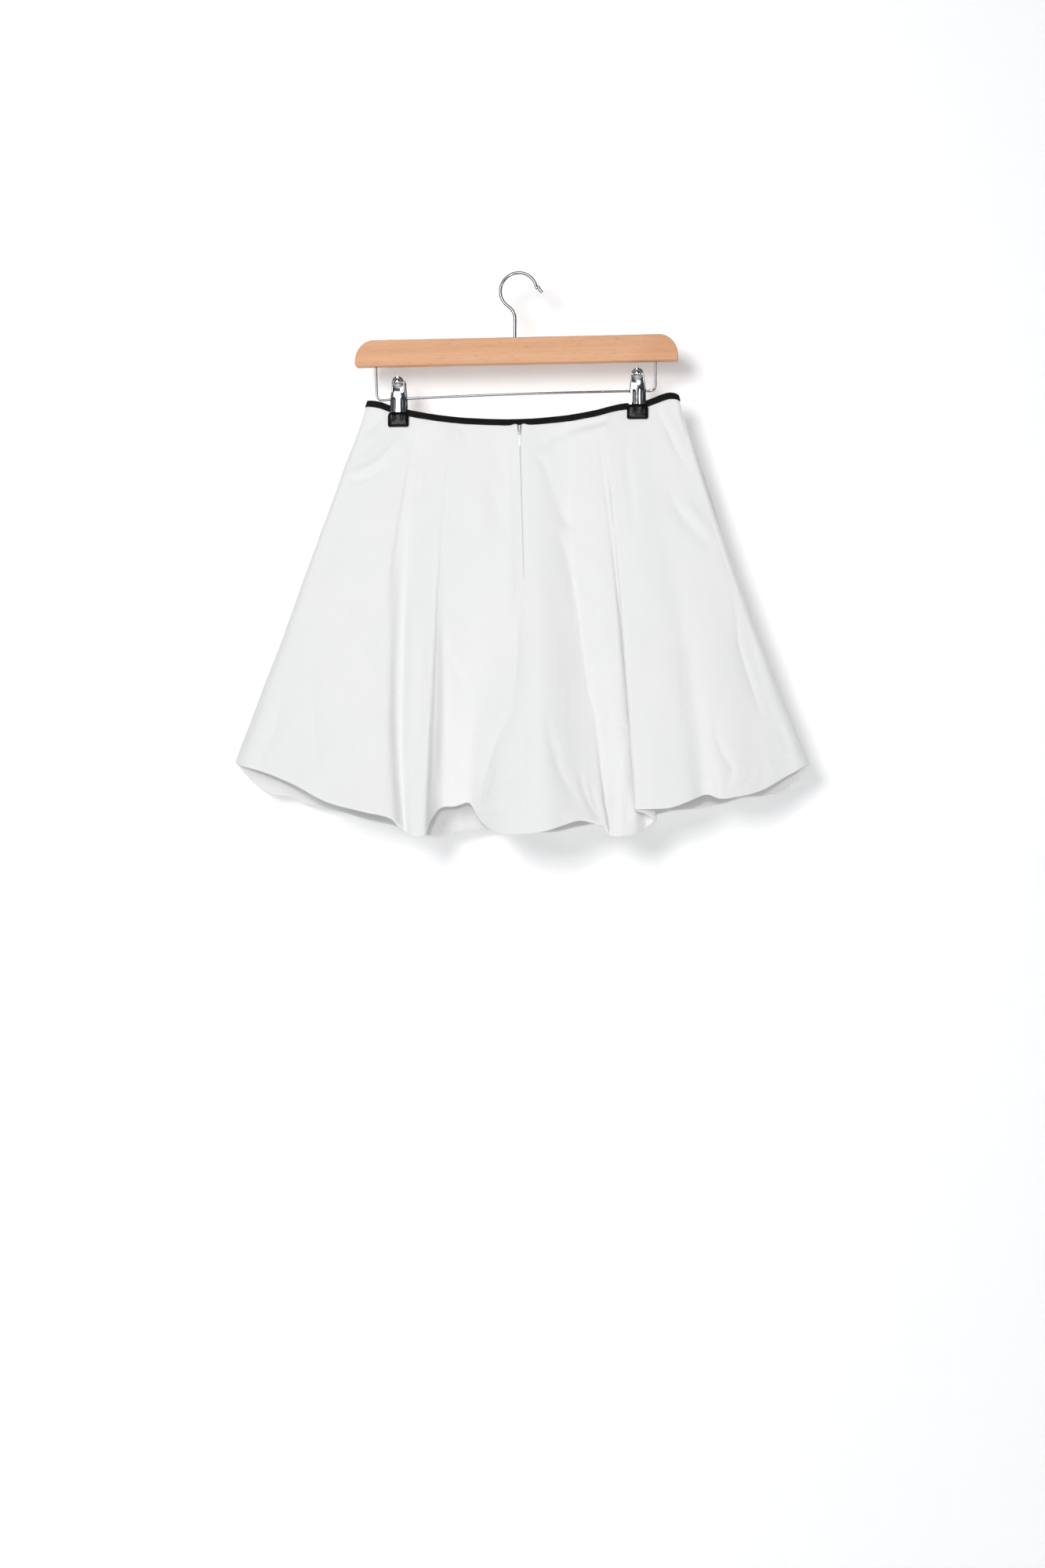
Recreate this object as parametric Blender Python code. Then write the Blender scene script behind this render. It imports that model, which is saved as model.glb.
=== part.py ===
"""A-line mini skirt with a turned-under hem, clipped by its waist to a wooden hanger.

Sizes are in millimetres and are scaled to metres when a mesh is made. X runs along the bar,
Y from the back of the skirt (the side with the zip) to its front, Z up. Tables measure X from
the middle of the bar. The origin of the model is the inside of the hook, at its highest point,
where a rail carries it.
"""
from collections import namedtuple
from math import ceil, cos, pi, radians, sin

import bpy
import numpy as np
from mathutils import Vector

MM = 0.001
HANG_X = 3.6            # the hook's bearing point, right of the bar's middle
SEAM_GAP = 0.3          # between neighbours that touch

# Hanger
WIRE_HOOK = 3.4
HOOK_RADIUS = 20.3
HOOK_CENTRE_Z = -(HOOK_RADIUS - WIRE_HOOK / 2)
HOOK_SEGMENTS = 20
HOOK_FLICK = ((25.2, -14.4), (27.2, -17.6), (30.0, -20.4))   # x and z of the flicked tip
STEM_X = -0.4
STEM_TOP = -49.0
NECK_RADIUS = 16.0
BAR_LEFT, BAR_RIGHT = -180.1, 180.9
BAR_TOP, BAR_BOTTOM = -70.8, -100.0
BAR_THICK = 13.0
BAR_SHOULDER_X, BAR_SHOULDER_Z = 21.0, 24.0
BAR_FOOT = 3.0
BAR_EDGE = 1.6
HOLE_DEPTH = 14.0
WIRE_RAIL = 2.6
RAIL_X = 155.8
RAIL_LEFT_Z, RAIL_RIGHT_Z = -137.2, -132.6
RAIL_BEND = 6.0

# Clips
CLIP_X = (-130.7, 136.2)
CLIP_WIDTH = 17.4
CLIP_HEAD_WIDTH = 13.6
CLIP_ABOVE_RAIL = 24.6
CLIP_BELOW_RAIL = 15.0
CLIP_PLATE = 1.2
PAD_WIDTH, PAD_HEIGHT, PAD_THICK = 23.4, 16.0, 3.4
JAW_INNER = 4.8         # from the middle plane to a pad's gripping face
CLIP_SPRING_LENGTH = 11.0
JAW_CROWN = 0.9         # how far a jaw's middle bulges beyond its edges
JAW_LEAN = 2.6          # how far a jaw's head leans out above the rail
THUMB_DOME, THUMB_Z, THUMB_SPREAD = 2.0, 18.0, 5.5
JAW_RIB, PAD_RIB = 0.8, 0.6
JAW_HEIGHTS = (24.1, 23.4, 21.0, 18.0, 15.0, 11.5, 8.0, 3.0, 1.6, -4.0, -11.5, -15.0)
JAW_SHARES = (-1.0, -0.82, -0.52, -0.36, -0.18, 0.18, 0.36, 0.52, 0.82, 1.0)
PAD_DROPS = (0.0, 0.08, 0.5, 0.62, 0.88, 1.0)
PAD_SHARES = (-1.0, -0.84, -0.45, -0.33, -0.17, 0.17, 0.33, 0.45, 0.84, 1.0)
PAD_TIP_NARROWING = 2.2

# Cloth
CLOTH = 1.0
BINDING = 1.0
BINDING_HEIGHT = 7.0
HEM_RADIUS = 2.5
RETURN_HEIGHT = 52.0
RETURN_DRIFT = 0.6
CALM_REACH = 4.0
SAMPLE_LENGTH = 30.0
LEVELS = (0.0, 0.016, 0.034, 0.052, 0.12, 0.22, 0.33, 0.44, 0.55, 0.66, 0.77, 0.87, 0.94, 1.0)

# Zip
NOTCH_BOTTOM_Z, NOTCH_TOP_Z = -186.0, -170.0
NOTCH_HALF = 2.4
ZIP_END_Z = -345.0
TAPE_HALF = 8.0
TAPE_TOP_BELOW_PULL = 5.5
TAPE_BACK = 0.9         # the teeth hold the tape this far off the cloth
PULL_LENGTH, PULL_WIDTH, PULL_THICK = 17.5, 4.4, 1.1
PULL_BAR = 1.1
PULL_OUT = 6.7          # from the middle plane to the pull's axis
PULL_AXIS_Z = -176.4
SLIDER_X = 5.3
SLIDER_WIDTH, SLIDER_HEIGHT, SLIDER_THICK = 5.6, 9.0, 2.4
LUG_WIDTH = 1.4
LUG_HOLE = 1.1
LUG_RADIUS = 1.95

# The waist line of the clipped skirt: it sags between the clips.
WaistPoint = namedtuple("WaistPoint", "x z")
WAIST_LINE = [
    WaistPoint(-167.0, -137.5), WaistPoint(-156.0, -138.0), WaistPoint(-143.0, -142.6),
    WaistPoint(-119.0, -148.8), WaistPoint(-82.0, -155.8), WaistPoint(-32.0, -160.4),
    WaistPoint(10.0, -161.4), WaistPoint(41.0, -159.5), WaistPoint(66.0, -157.0),
    WaistPoint(90.0, -152.8), WaistPoint(114.0, -147.0), WaistPoint(148.0, -142.5),
    WaistPoint(163.0, -136.8), WaistPoint(175.0, -135.2), WaistPoint(181.0, -137.4),
]

# One row for each line of the cloth that runs from the waist to the hem: where it lies along
# the bar and how far it stands out from the middle plane at the waist, half way and at the hem.
Fold = namedtuple("Fold", "x_top x_mid x_hem out_top out_mid out_hem z_hem")

LEFT_SIDE = Fold(-166.0, -240.0, -317.0, 0.0, 0.0, 0.0, -543.0)
RIGHT_SIDE = Fold(180.6, 246.0, 324.0, 0.0, 0.0, 0.0, -546.0)
BACK_SEAM = Fold(5.0, 12.5, 20.0, 4.6, 21.5, 58.0, -620.5)

BACK_LEFT = [
    Fold(-163.0, -236.0, -309.0, 2.5, 5.5, 11.0, -546.0),
    Fold(-152.0, -219.0, -284.0, 2.8, 9.5, 18.0, -552.5),
    Fold(-139.0, -196.0, -247.0, 2.6, 14.5, 27.0, -566.5),
    Fold(-122.0, -167.0, -205.0, 2.6, 18.0, 39.0, -587.0),
    Fold(-110.0, -146.0, -160.0, 3.2, 17.0, 49.0, -598.0),
    Fold(-104.0, -136.0, -128.0, 3.4, 14.0, 51.0, -607.0),
    Fold(-100.0, -128.0, -117.0, 3.6, 12.5, 41.0, -620.0),
    Fold(-94.0, -118.0, -110.0, 4.0, 14.5, 47.0, -623.0),
    Fold(-82.0, -103.0, -101.0, 4.2, 18.5, 49.0, -624.0),
    Fold(-73.0, -91.0, -94.0, 4.2, 20.5, 47.0, -623.0),
    Fold(-69.0, -85.0, -90.0, 4.0, 16.5, 30.0, -607.0),
    Fold(-63.0, -77.0, -82.0, 3.8, 13.0, 17.0, -594.0),
    Fold(-51.0, -61.0, -66.0, 3.6, 11.5, 14.0, -591.5),
    Fold(-37.0, -43.0, -49.0, 3.6, 11.5, 15.5, -588.6),
    Fold(-29.0, -33.0, -41.0, 3.6, 12.0, 24.0, -601.0),
    Fold(-20.0, -22.0, -29.0, 3.6, 12.5, 37.0, -613.0),
    Fold(-8.0, -7.0, -11.0, 3.9, 14.5, 51.0, -620.3),
]

BACK_RIGHT = [
    Fold(20.0, 30.0, 40.0, 4.0, 24.0, 58.0, -617.5),
    Fold(34.0, 48.0, 60.0, 3.6, 18.0, 50.0, -611.0),
    Fold(46.0, 62.0, 76.0, 3.4, 11.5, 43.0, -606.5),
    Fold(54.0, 70.0, 92.0, 3.4, 9.0, 38.0, -610.0),
    Fold(60.0, 75.0, 105.0, 3.6, 9.0, 33.0, -614.5),
    Fold(64.0, 81.0, 106.0, 4.0, 11.0, 28.0, -622.0),
    Fold(71.0, 93.0, 112.0, 4.2, 15.0, 31.0, -624.0),
    Fold(79.0, 104.0, 122.0, 4.2, 16.5, 33.0, -623.5),
    Fold(86.0, 114.0, 136.0, 4.0, 15.0, 29.0, -621.0),
    Fold(91.0, 120.5, 148.5, 3.6, 11.6, 17.5, -613.0),
    Fold(93.0, 123.5, 153.0, 3.6, 13.4, 19.5, -608.0),
    Fold(95.0, 121.5, 146.0, 3.6, 16.2, 28.0, -600.0),
    Fold(97.0, 118.0, 134.0, 3.6, 18.9, 36.5, -595.5),
    Fold(100.0, 119.5, 135.5, 3.6, 20.6, 41.0, -594.5),
    Fold(106.0, 132.0, 152.0, 3.0, 21.5, 42.0, -594.0),
    Fold(116.0, 150.0, 176.0, 2.6, 21.0, 39.0, -592.0),
    Fold(124.0, 165.0, 195.0, 2.6, 18.5, 35.0, -585.0),
    Fold(135.0, 181.0, 213.0, 2.6, 14.5, 27.5, -578.3),
    Fold(144.0, 196.0, 227.0, 2.6, 14.0, 33.0, -582.5),
    Fold(153.0, 211.0, 246.0, 2.8, 12.5, 31.0, -580.5),
    Fold(163.0, 226.0, 273.0, 3.0, 9.5, 22.0, -573.5),
    Fold(172.0, 238.0, 300.0, 2.8, 7.0, 14.0, -558.0),
    Fold(177.5, 243.5, 317.0, 2.4, 4.5, 9.0, -549.0),
]

FRONT = [
    Fold(177.0, 243.0, 317.0, 2.4, 5.0, 10.0, -554.0),
    Fold(166.0, 231.0, 303.0, 2.8, 9.0, 18.0, -571.0),
    Fold(152.0, 214.0, 280.0, 2.6, 13.0, 25.0, -580.0),
    Fold(138.0, 196.0, 255.0, 2.6, 17.0, 33.0, -582.0),
    Fold(124.0, 176.0, 226.0, 2.6, 21.0, 41.0, -590.0),
    Fold(112.0, 158.0, 200.0, 3.0, 22.0, 45.0, -594.5),
    Fold(98.0, 138.0, 172.0, 3.4, 18.0, 41.0, -597.0),
    Fold(84.0, 117.0, 147.0, 3.6, 13.0, 33.0, -603.0),
    Fold(70.0, 98.0, 122.0, 3.6, 11.0, 28.0, -607.0),
    Fold(56.0, 77.0, 97.0, 3.6, 13.0, 29.0, -610.0),
    Fold(40.0, 56.0, 68.0, 3.6, 18.0, 36.0, -615.0),
    Fold(24.0, 34.0, 40.0, 3.6, 23.0, 44.0, -621.0),
    Fold(8.0, 12.0, 12.0, 3.6, 23.0, 46.0, -621.0),
    Fold(-8.0, -10.0, -16.0, 3.6, 19.0, 40.0, -619.0),
    Fold(-26.0, -33.0, -42.0, 3.6, 14.0, 32.0, -618.0),
    Fold(-44.0, -56.0, -66.0, 3.6, 11.5, 26.0, -621.0),
    Fold(-60.0, -78.0, -90.0, 3.6, 14.0, 28.0, -626.0),
    Fold(-76.0, -99.0, -114.0, 3.6, 19.0, 35.0, -622.0),
    Fold(-90.0, -119.0, -142.0, 3.4, 23.0, 43.0, -614.0),
    Fold(-104.0, -140.0, -172.0, 3.0, 23.0, 46.0, -608.0),
    Fold(-118.0, -162.0, -203.0, 2.6, 19.0, 42.0, -599.0),
    Fold(-131.0, -183.0, -236.0, 2.6, 15.0, 37.0, -592.0),
    Fold(-143.0, -203.0, -262.0, 2.6, 12.0, 31.0, -581.0),
    Fold(-153.0, -219.0, -286.0, 2.8, 10.0, 25.0, -577.0),
    Fold(-162.0, -235.0, -307.0, 2.5, 6.0, 12.0, -558.0),
]

# Surface finishes: base colour, roughness, metallic
FINISHES = {
    "cotton_white": ((0.84, 0.85, 0.85, 1.0), 0.85, 0.0),
    "binding_black": ((0.012, 0.012, 0.013, 1.0), 0.75, 0.0),
    "beech": ((0.74, 0.41, 0.23, 1.0), 0.45, 0.0),
    "chrome": ((0.72, 0.73, 0.75, 1.0), 0.12, 1.0),
    "dip_black": ((0.01, 0.01, 0.011, 1.0), 0.18, 0.0),
    "zip_white": ((0.82, 0.83, 0.83, 1.0), 0.4, 0.0),
}


def clear_scene():
    for item in list(bpy.data.objects):
        bpy.data.objects.remove(item, do_unlink=True)


def finish(name):
    if name in bpy.data.materials:
        return bpy.data.materials[name]
    colour, roughness, metallic = FINISHES[name]
    material = bpy.data.materials.new(name)
    material.use_nodes = True
    shader = material.node_tree.nodes["Principled BSDF"]
    shader.inputs["Base Color"].default_value = colour
    shader.inputs["Roughness"].default_value = roughness
    shader.inputs["Metallic"].default_value = metallic
    return material


def world(point):
    return Vector(((point[0] - HANG_X) * MM, point[1] * MM, point[2] * MM))


def add_object(name, verts, faces, finish_name, smooth_angle=40.0, origin=None):
    """One named object from points in millimetres, with its origin where it turns."""
    home = world(origin) if origin is not None else Vector((0.0, 0.0, 0.0))
    mesh = bpy.data.meshes.new(name)
    mesh.from_pydata([world(v) - home for v in verts], [], faces)
    mesh.update()
    mesh.shade_smooth()
    mesh.set_sharp_from_angle(angle=radians(smooth_angle))
    mesh.materials.append(finish(finish_name))
    made = bpy.data.objects.new(name, mesh)
    made.location = home
    bpy.context.collection.objects.link(made)
    return made


def two_sided(front, back):
    """Vertices and faces of a closed wall between two grids of the same size."""
    rows, cols = len(front), len(front[0])
    verts = [tuple(p) for line in front for p in line] + [tuple(p) for line in back for p in line]
    shift = rows * cols

    def at(r, c):
        return r * cols + c

    faces = []
    for r in range(rows - 1):
        for c in range(cols - 1):
            quad = (at(r, c), at(r + 1, c), at(r + 1, c + 1), at(r, c + 1))
            faces.append(quad)
            faces.append(tuple(shift + i for i in reversed(quad)))
    rim = [at(0, c) for c in range(cols)]
    rim += [at(r, cols - 1) for r in range(1, rows)]
    rim += [at(rows - 1, c) for c in range(cols - 2, -1, -1)]
    rim += [at(r, 0) for r in range(rows - 2, 0, -1)]
    for a, b in zip(rim, rim[1:] + rim[:1]):
        faces.append((a, b, shift + b, shift + a))
    return verts, faces


def loft_ring(sections):
    """Vertices and faces of a solid through closed sections, capped at both ends."""
    count = len(sections[0])
    verts = [tuple(p) for section in sections for p in section]
    faces = []
    for s in range(len(sections) - 1):
        for i in range(count):
            j = (i + 1) % count
            faces.append((s * count + i, s * count + j, (s + 1) * count + j, (s + 1) * count + i))
    faces.append(tuple(reversed(range(count))))
    faces.append(tuple(range((len(sections) - 1) * count, len(sections) * count)))
    return verts, faces


def smooth_step(value):
    value = min(1.0, max(0.0, value))
    return value * value * (3.0 - 2.0 * value)


def slopes(knots, points, closed):
    """Slope of a smooth curve at each of its points, for unevenly spaced points."""
    count = len(points)
    result = np.zeros_like(points)
    for i in range(count):
        before, after = i - 1, i + 1
        if closed:
            after %= count
            step_before = knots[i] - knots[i - 1] if i else knots[count] - knots[count - 1]
            step_after = knots[i + 1] - knots[i]
        elif i == 0 or i == count - 1:
            near = 1 if i == 0 else count - 2
            result[i] = (points[near] - points[i]) / (knots[near] - knots[i])
            continue
        else:
            step_before = knots[i] - knots[i - 1]
            step_after = knots[i + 1] - knots[i]
        rate_before = (points[i] - points[before]) / step_before
        rate_after = (points[after] - points[i]) / step_after
        result[i] = (rate_before * step_after + rate_after * step_before) / (step_before + step_after)
    return result


def blend(start, end, slope_start, slope_end, step, share):
    """Point on the smooth curve between two of its points."""
    s2, s3 = share * share, share ** 3
    return (start * (2 * s3 - 3 * s2 + 1) + slope_start * step * (s3 - 2 * s2 + share)
            + end * (3 * s2 - 2 * s3) + slope_end * step * (s3 - s2))


WAIST_X = np.array([p.x for p in WAIST_LINE])
WAIST_Z = np.array([p.z for p in WAIST_LINE])
WAIST_SLOPE = slopes(WAIST_X, WAIST_Z, closed=False)


def waist_z(x):
    """Height of the waist's upper edge above a place along the bar."""
    i = int(min(len(WAIST_X) - 2, max(0, np.searchsorted(WAIST_X, x) - 1)))
    step = WAIST_X[i + 1] - WAIST_X[i]
    share = (x - WAIST_X[i]) / step
    return blend(WAIST_Z[i], WAIST_Z[i + 1], WAIST_SLOPE[i], WAIST_SLOPE[i + 1], step, share)


def ring_rows():
    """The folds all round, from the left side along the back to the right side and home
    along the front, with the side that each lies on."""
    rows = [(LEFT_SIDE, -1.0)]
    rows += [(fold, -1.0) for fold in BACK_LEFT]
    rows += [(BACK_SEAM, -1.0)]
    rows += [(fold, -1.0) for fold in BACK_RIGHT]
    rows += [(RIGHT_SIDE, 1.0)]
    rows += [(fold, 1.0) for fold in FRONT]
    return rows


ROWS = ring_rows()
SEAM_ROW = 1 + len(BACK_LEFT)
RIGHT_ROW = SEAM_ROW + 1 + len(BACK_RIGHT)
EDGE_TOP = BINDING + SEAM_GAP


def level_points(level):
    """Where each fold's line is at one level, 0 at the waist and 1 at the hem."""
    top_share = (1 - level) * (1 - 2 * level)
    mid_share = 4 * level * (1 - level)
    hem_share = level * (2 * level - 1)
    points = []
    for fold, side in ROWS:
        x = top_share * fold.x_top + mid_share * fold.x_mid + hem_share * fold.x_hem
        out = top_share * fold.out_top + mid_share * fold.out_mid + hem_share * fold.out_hem
        top = waist_z(fold.x_top) - EDGE_TOP
        z = top + level * (fold.z_hem + HEM_RADIUS - top)
        points.append((x, side * out, z))
    return np.array(points)


def ring_knots():
    hem = level_points(1.0)
    waist = level_points(0.0)
    steps = [0.0]
    for i in range(len(ROWS)):
        j = (i + 1) % len(ROWS)
        gap_hem = np.linalg.norm(hem[j][:2] - hem[i][:2])
        gap_waist = np.linalg.norm(waist[j][:2] - waist[i][:2])
        steps.append(steps[-1] + 0.5 * (gap_hem + gap_waist))
    return np.array(steps)


KNOTS = ring_knots()


def ring_shares(sample_length):
    """Row number and share of each sample round the ring, with a sample on every row."""
    hem = level_points(1.0)
    samples = []
    for i in range(len(ROWS)):
        j = (i + 1) % len(ROWS)
        count = max(1, ceil(np.linalg.norm(hem[j] - hem[i]) / sample_length))
        samples += [(i, k / count) for k in range(count)]
    return samples


SAMPLES = ring_shares(SAMPLE_LENGTH)


def ring_at(level):
    """Points of the cloth's outer face all round, at one level."""
    points = level_points(level)
    rates = slopes(KNOTS, points, closed=True)
    count = len(points)
    return np.array([
        blend(points[i], points[(i + 1) % count], rates[i], rates[(i + 1) % count],
              KNOTS[i + 1] - KNOTS[i], share)
        for i, share in SAMPLES
    ])


def mean_direction(points, axis):
    """Direction along a grid or ring at each point, even where its points are unevenly spaced."""
    step = np.roll(points, -1, axis=axis) - points
    step /= np.linalg.norm(step, axis=-1, keepdims=True)
    return step + np.roll(step, 1, axis=axis)


def plan_outward(ring):
    """Outward direction in plan at each point of a ring."""
    flat = ring * np.array((1.0, 1.0, 0.0))
    along = mean_direction(flat, 0)
    out = np.column_stack((along[:, 1], -along[:, 0], np.zeros(len(ring))))
    return out / np.linalg.norm(out, axis=1)[:, None]


def calm_outward(ring, reach=CALM_REACH):
    """Outward directions averaged along the ring, so that a turned-in edge never crosses itself."""
    out = plan_outward(ring)
    gaps = np.linalg.norm(np.roll(ring, -1, axis=0) - ring, axis=1)
    place = np.concatenate(([0.0], np.cumsum(gaps)))
    total, place = place[-1], place[:-1]
    weight_of = 0.5 * (gaps + np.roll(gaps, 1))
    calm = np.zeros_like(out)
    for i in range(len(ring)):
        apart = np.abs(place - place[i])
        apart = np.minimum(apart, total - apart)
        weight = np.exp(-(apart / reach) ** 2) * weight_of
        calm[i] = (out * weight[:, None]).sum(axis=0)
    return calm / np.linalg.norm(calm, axis=1)[:, None]


def turn_depth(ring, inward, most):
    """How far the hem may turn in at each point, less where a fold leaves it little room."""
    gaps = np.linalg.norm(np.roll(ring, -1, axis=0) - ring, axis=1)
    place = np.concatenate(([0.0], np.cumsum(gaps)))
    total, place = place[-1], place[:-1]
    depth = np.full(len(ring), most)
    for i in range(len(ring)):
        apart = np.abs(place - place[i])
        apart = np.minimum(apart, total - apart)
        toward = ring[:, :2] - ring[i, :2]
        reach = np.linalg.norm(toward, axis=1)
        inside = (apart > 13.0) & (toward @ inward[i, :2] > 0.35 * reach)
        if inside.any():
            depth[i] = min(most, 0.42 * reach[inside].min())
    return depth


def cloth_profile():
    """The cloth's right side as rings, from the waist down, round the hem and up inside."""
    rings = [ring_at(level) for level in LEVELS]
    hem = rings[-1]
    inward = -calm_outward(hem)
    depth = turn_depth(hem, inward, 2 * HEM_RADIUS)
    for angle in (50.0, 90.0, 130.0, 180.0):
        turn = radians(angle)
        ring = hem + inward * (depth * 0.5 * (1 - cos(turn)))[:, None]
        ring[:, 2] -= np.minimum(HEM_RADIUS, depth) * sin(turn)
        rings.append(ring)
    fall = ring_at(0.0)[:, 2].mean() - hem[:, 2].mean()
    for share in (0.34, 0.67, 1.0):
        rise = share * RETURN_HEIGHT
        level = 1.0 - rise / fall
        ring = ring_at(level)
        inward = -calm_outward(ring)
        depth = turn_depth(ring, inward, 2 * HEM_RADIUS + RETURN_DRIFT * share)
        ring = ring + inward * depth[:, None]
        rings.append(ring)
    return np.array(rings)


def face_outward(grid):
    """Directions square to a grid of rings, away from the cloth's wrong side."""
    around = mean_direction(grid, 1)
    down = np.empty_like(grid)
    down[1:-1] = grid[2:] - grid[:-2]
    down[0] = grid[1] - grid[0]
    down[-1] = grid[-1] - grid[-2]
    out = np.cross(down, around)
    return out / np.linalg.norm(out, axis=2)[:, :, None]


PROFILE = cloth_profile()
OUTWARD = face_outward(PROFILE)


def sample_of_row(row):
    return next(k for k, (i, share) in enumerate(SAMPLES) if i == row and share == 0.0)


def span(first_row, last_row):
    """Sample numbers from one fold's line to another, going round by the front if need be."""
    first = sample_of_row(first_row)
    last = sample_of_row(last_row)
    if last <= first:
        last += len(SAMPLES)
    return [k % len(SAMPLES) for k in range(first, last + 1)]


def seam_clearance(z, at_zip):
    """Half the gap at a seam; at the zip the cloth parts round the slider."""
    if not at_zip:
        return SEAM_GAP / 2
    opened = (z - NOTCH_BOTTOM_Z) / (NOTCH_TOP_Z - NOTCH_BOTTOM_Z)
    return SEAM_GAP / 2 + NOTCH_HALF * smooth_step(opened)


def panel_grid(columns, zip_end=None):
    """The cloth's right side and its outward directions for one panel, trimmed at its seams."""
    grid = PROFILE[:, columns].copy()
    out = OUTWARD[:, columns].copy()
    for end, inner in ((0, 1), (-1, -2)):
        toward = grid[:, inner] - grid[:, end]
        toward /= np.linalg.norm(toward, axis=1)[:, None]
        gap = np.array([seam_clearance(p[2], zip_end == end) for p in grid[:, end]])
        gap[len(LEVELS):] = SEAM_GAP / 2
        grid[:, end] += toward * gap[:, None]
    return grid, out


def panel(name, columns, zip_end=None):
    grid, out = panel_grid(columns, zip_end)
    verts, faces = two_sided(grid, grid - out * CLOTH)
    return add_object(name, verts, faces, "cotton_white")


def binding(name, columns):
    """Black binding folded over the waist edge, made from the panel's points moved out."""
    grid, out = panel_grid(columns)
    top, low = grid[0], grid[1]
    drop = (BINDING_HEIGHT - EDGE_TOP) / np.maximum(1e-6, top[:, 2] - low[:, 2])
    foot = top + (low - top) * drop[:, None]
    out_top = out[0] * np.array((1.0, 1.0, 0.0))
    out_top /= np.linalg.norm(out_top, axis=1)[:, None]
    up = np.array((0.0, 0.0, 1.0))
    near, far = SEAM_GAP, SEAM_GAP + BINDING

    def ring(offset, base, lift=0.0):
        return base + out_top * offset + up * lift

    section = [
        ring(near, foot), ring(near, top, SEAM_GAP), ring(-CLOTH - near, top, SEAM_GAP),
        ring(-CLOTH - near, foot), ring(-CLOTH - far, foot), ring(-CLOTH - far, top, SEAM_GAP),
        ring(-CLOTH * 0.5 - far * 0.55, top, far), ring(-CLOTH * 0.5 + far * 0.55, top, far),
        ring(far, top, SEAM_GAP), ring(far, foot),
    ]
    sections = [[line[c] for line in section] for c in range(len(columns))]
    verts, faces = loft_ring(sections)
    return add_object(name, verts, faces, "binding_black")


def zip_tape():
    """The closed zip's tape, behind the centre-back seam and made from its points."""
    seam = sample_of_row(SEAM_ROW)
    lines = []
    for level in np.linspace(0.0, 1.0, 61):
        ring = ring_at(level)
        point = ring[seam]
        if PULL_AXIS_Z - TAPE_TOP_BELOW_PULL > point[2] > ZIP_END_Z:
            lines.append((ring, point))
    front, back = [], []
    for ring, point in lines[::3]:
        out = plan_outward(ring)[seam]
        along = np.array((-out[1], out[0], 0.0))
        base = point - out * (CLOTH + SEAM_GAP + TAPE_BACK)
        across = [base + along * side * TAPE_HALF for side in (-1.0, 0.0, 1.0)]
        front.append(across)
        back.append([p - out * CLOTH for p in across])
    verts, faces = two_sided(front, back)
    return add_object("zip_tape", verts, faces, "zip_white")


def box_points(centre, size):
    """Vertices and faces of a plain block, for joining or cutting."""
    half = [s / 2 for s in size]
    verts = [(centre[0] + sx * half[0], centre[1] + sy * half[1], centre[2] + sz * half[2])
             for sz in (-1, 1) for sx, sy in ((-1, -1), (1, -1), (1, 1), (-1, 1))]
    faces = [(3, 2, 1, 0), (4, 5, 6, 7), (0, 1, 5, 4), (1, 2, 6, 5), (2, 3, 7, 6), (3, 0, 4, 7)]
    return verts, faces


def prism(outline, axis, low, high):
    """Solid between two copies of an outline; the outline turns anticlockwise seen from +axis."""
    def place(a, b, c):
        return (c, a, b) if axis == "x" else (b, c, a) if axis == "y" else (a, b, c)

    sections = [[place(a, b, c) for a, b in outline] for c in (low, high)]
    return loft_ring(sections)


def cut(target, name, verts, faces, operation="DIFFERENCE"):
    """Boolean with a hidden cutter."""
    tool = add_object(name, verts, faces, "chrome")
    tool.hide_render = True
    tool.display_type = "WIRE"
    step = target.modifiers.new(name, "BOOLEAN")
    step.operation = operation
    step.solver = "EXACT"
    step.object = tool
    tool.hide_set(True)
    return tool


def circle(radius, count, centre=(0.0, 0.0), start=0.0):
    return [(centre[0] + radius * cos(start + 2 * pi * k / count),
             centre[1] + radius * sin(start + 2 * pi * k / count)) for k in range(count)]


def zip_slider():
    """The slider behind the seam, with the lug that stands out through the notch."""
    body_y = -(4.6 - CLOTH - SEAM_GAP) + SLIDER_THICK / 2 + 0.1
    body_z = PULL_AXIS_Z + 1.2
    verts, faces = box_points((SLIDER_X, body_y, body_z), (SLIDER_WIDTH, SLIDER_THICK, SLIDER_HEIGHT))
    slider = add_object("zip_slider", verts, faces, "zip_white")
    edge = slider.modifiers.new("rounded", "BEVEL")
    edge.width = 0.7 * MM
    edge.segments = 2
    lug = circle(LUG_RADIUS, 16, (-PULL_OUT, PULL_AXIS_Z), pi / 2)
    lug = [p for p in lug if p[0] <= -PULL_OUT + 0.01]
    lug += [(body_y, PULL_AXIS_Z - LUG_RADIUS), (body_y, PULL_AXIS_Z + LUG_RADIUS)]
    cut(slider, "slider_lug", *prism(lug, "x", SLIDER_X - LUG_WIDTH / 2, SLIDER_X + LUG_WIDTH / 2),
        operation="UNION")
    hole = circle(LUG_HOLE, 14, (-PULL_OUT, PULL_AXIS_Z))
    cut(slider, "slider_hole", *prism(hole, "x", SLIDER_X - 4.0, SLIDER_X + 4.0))
    return slider


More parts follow.
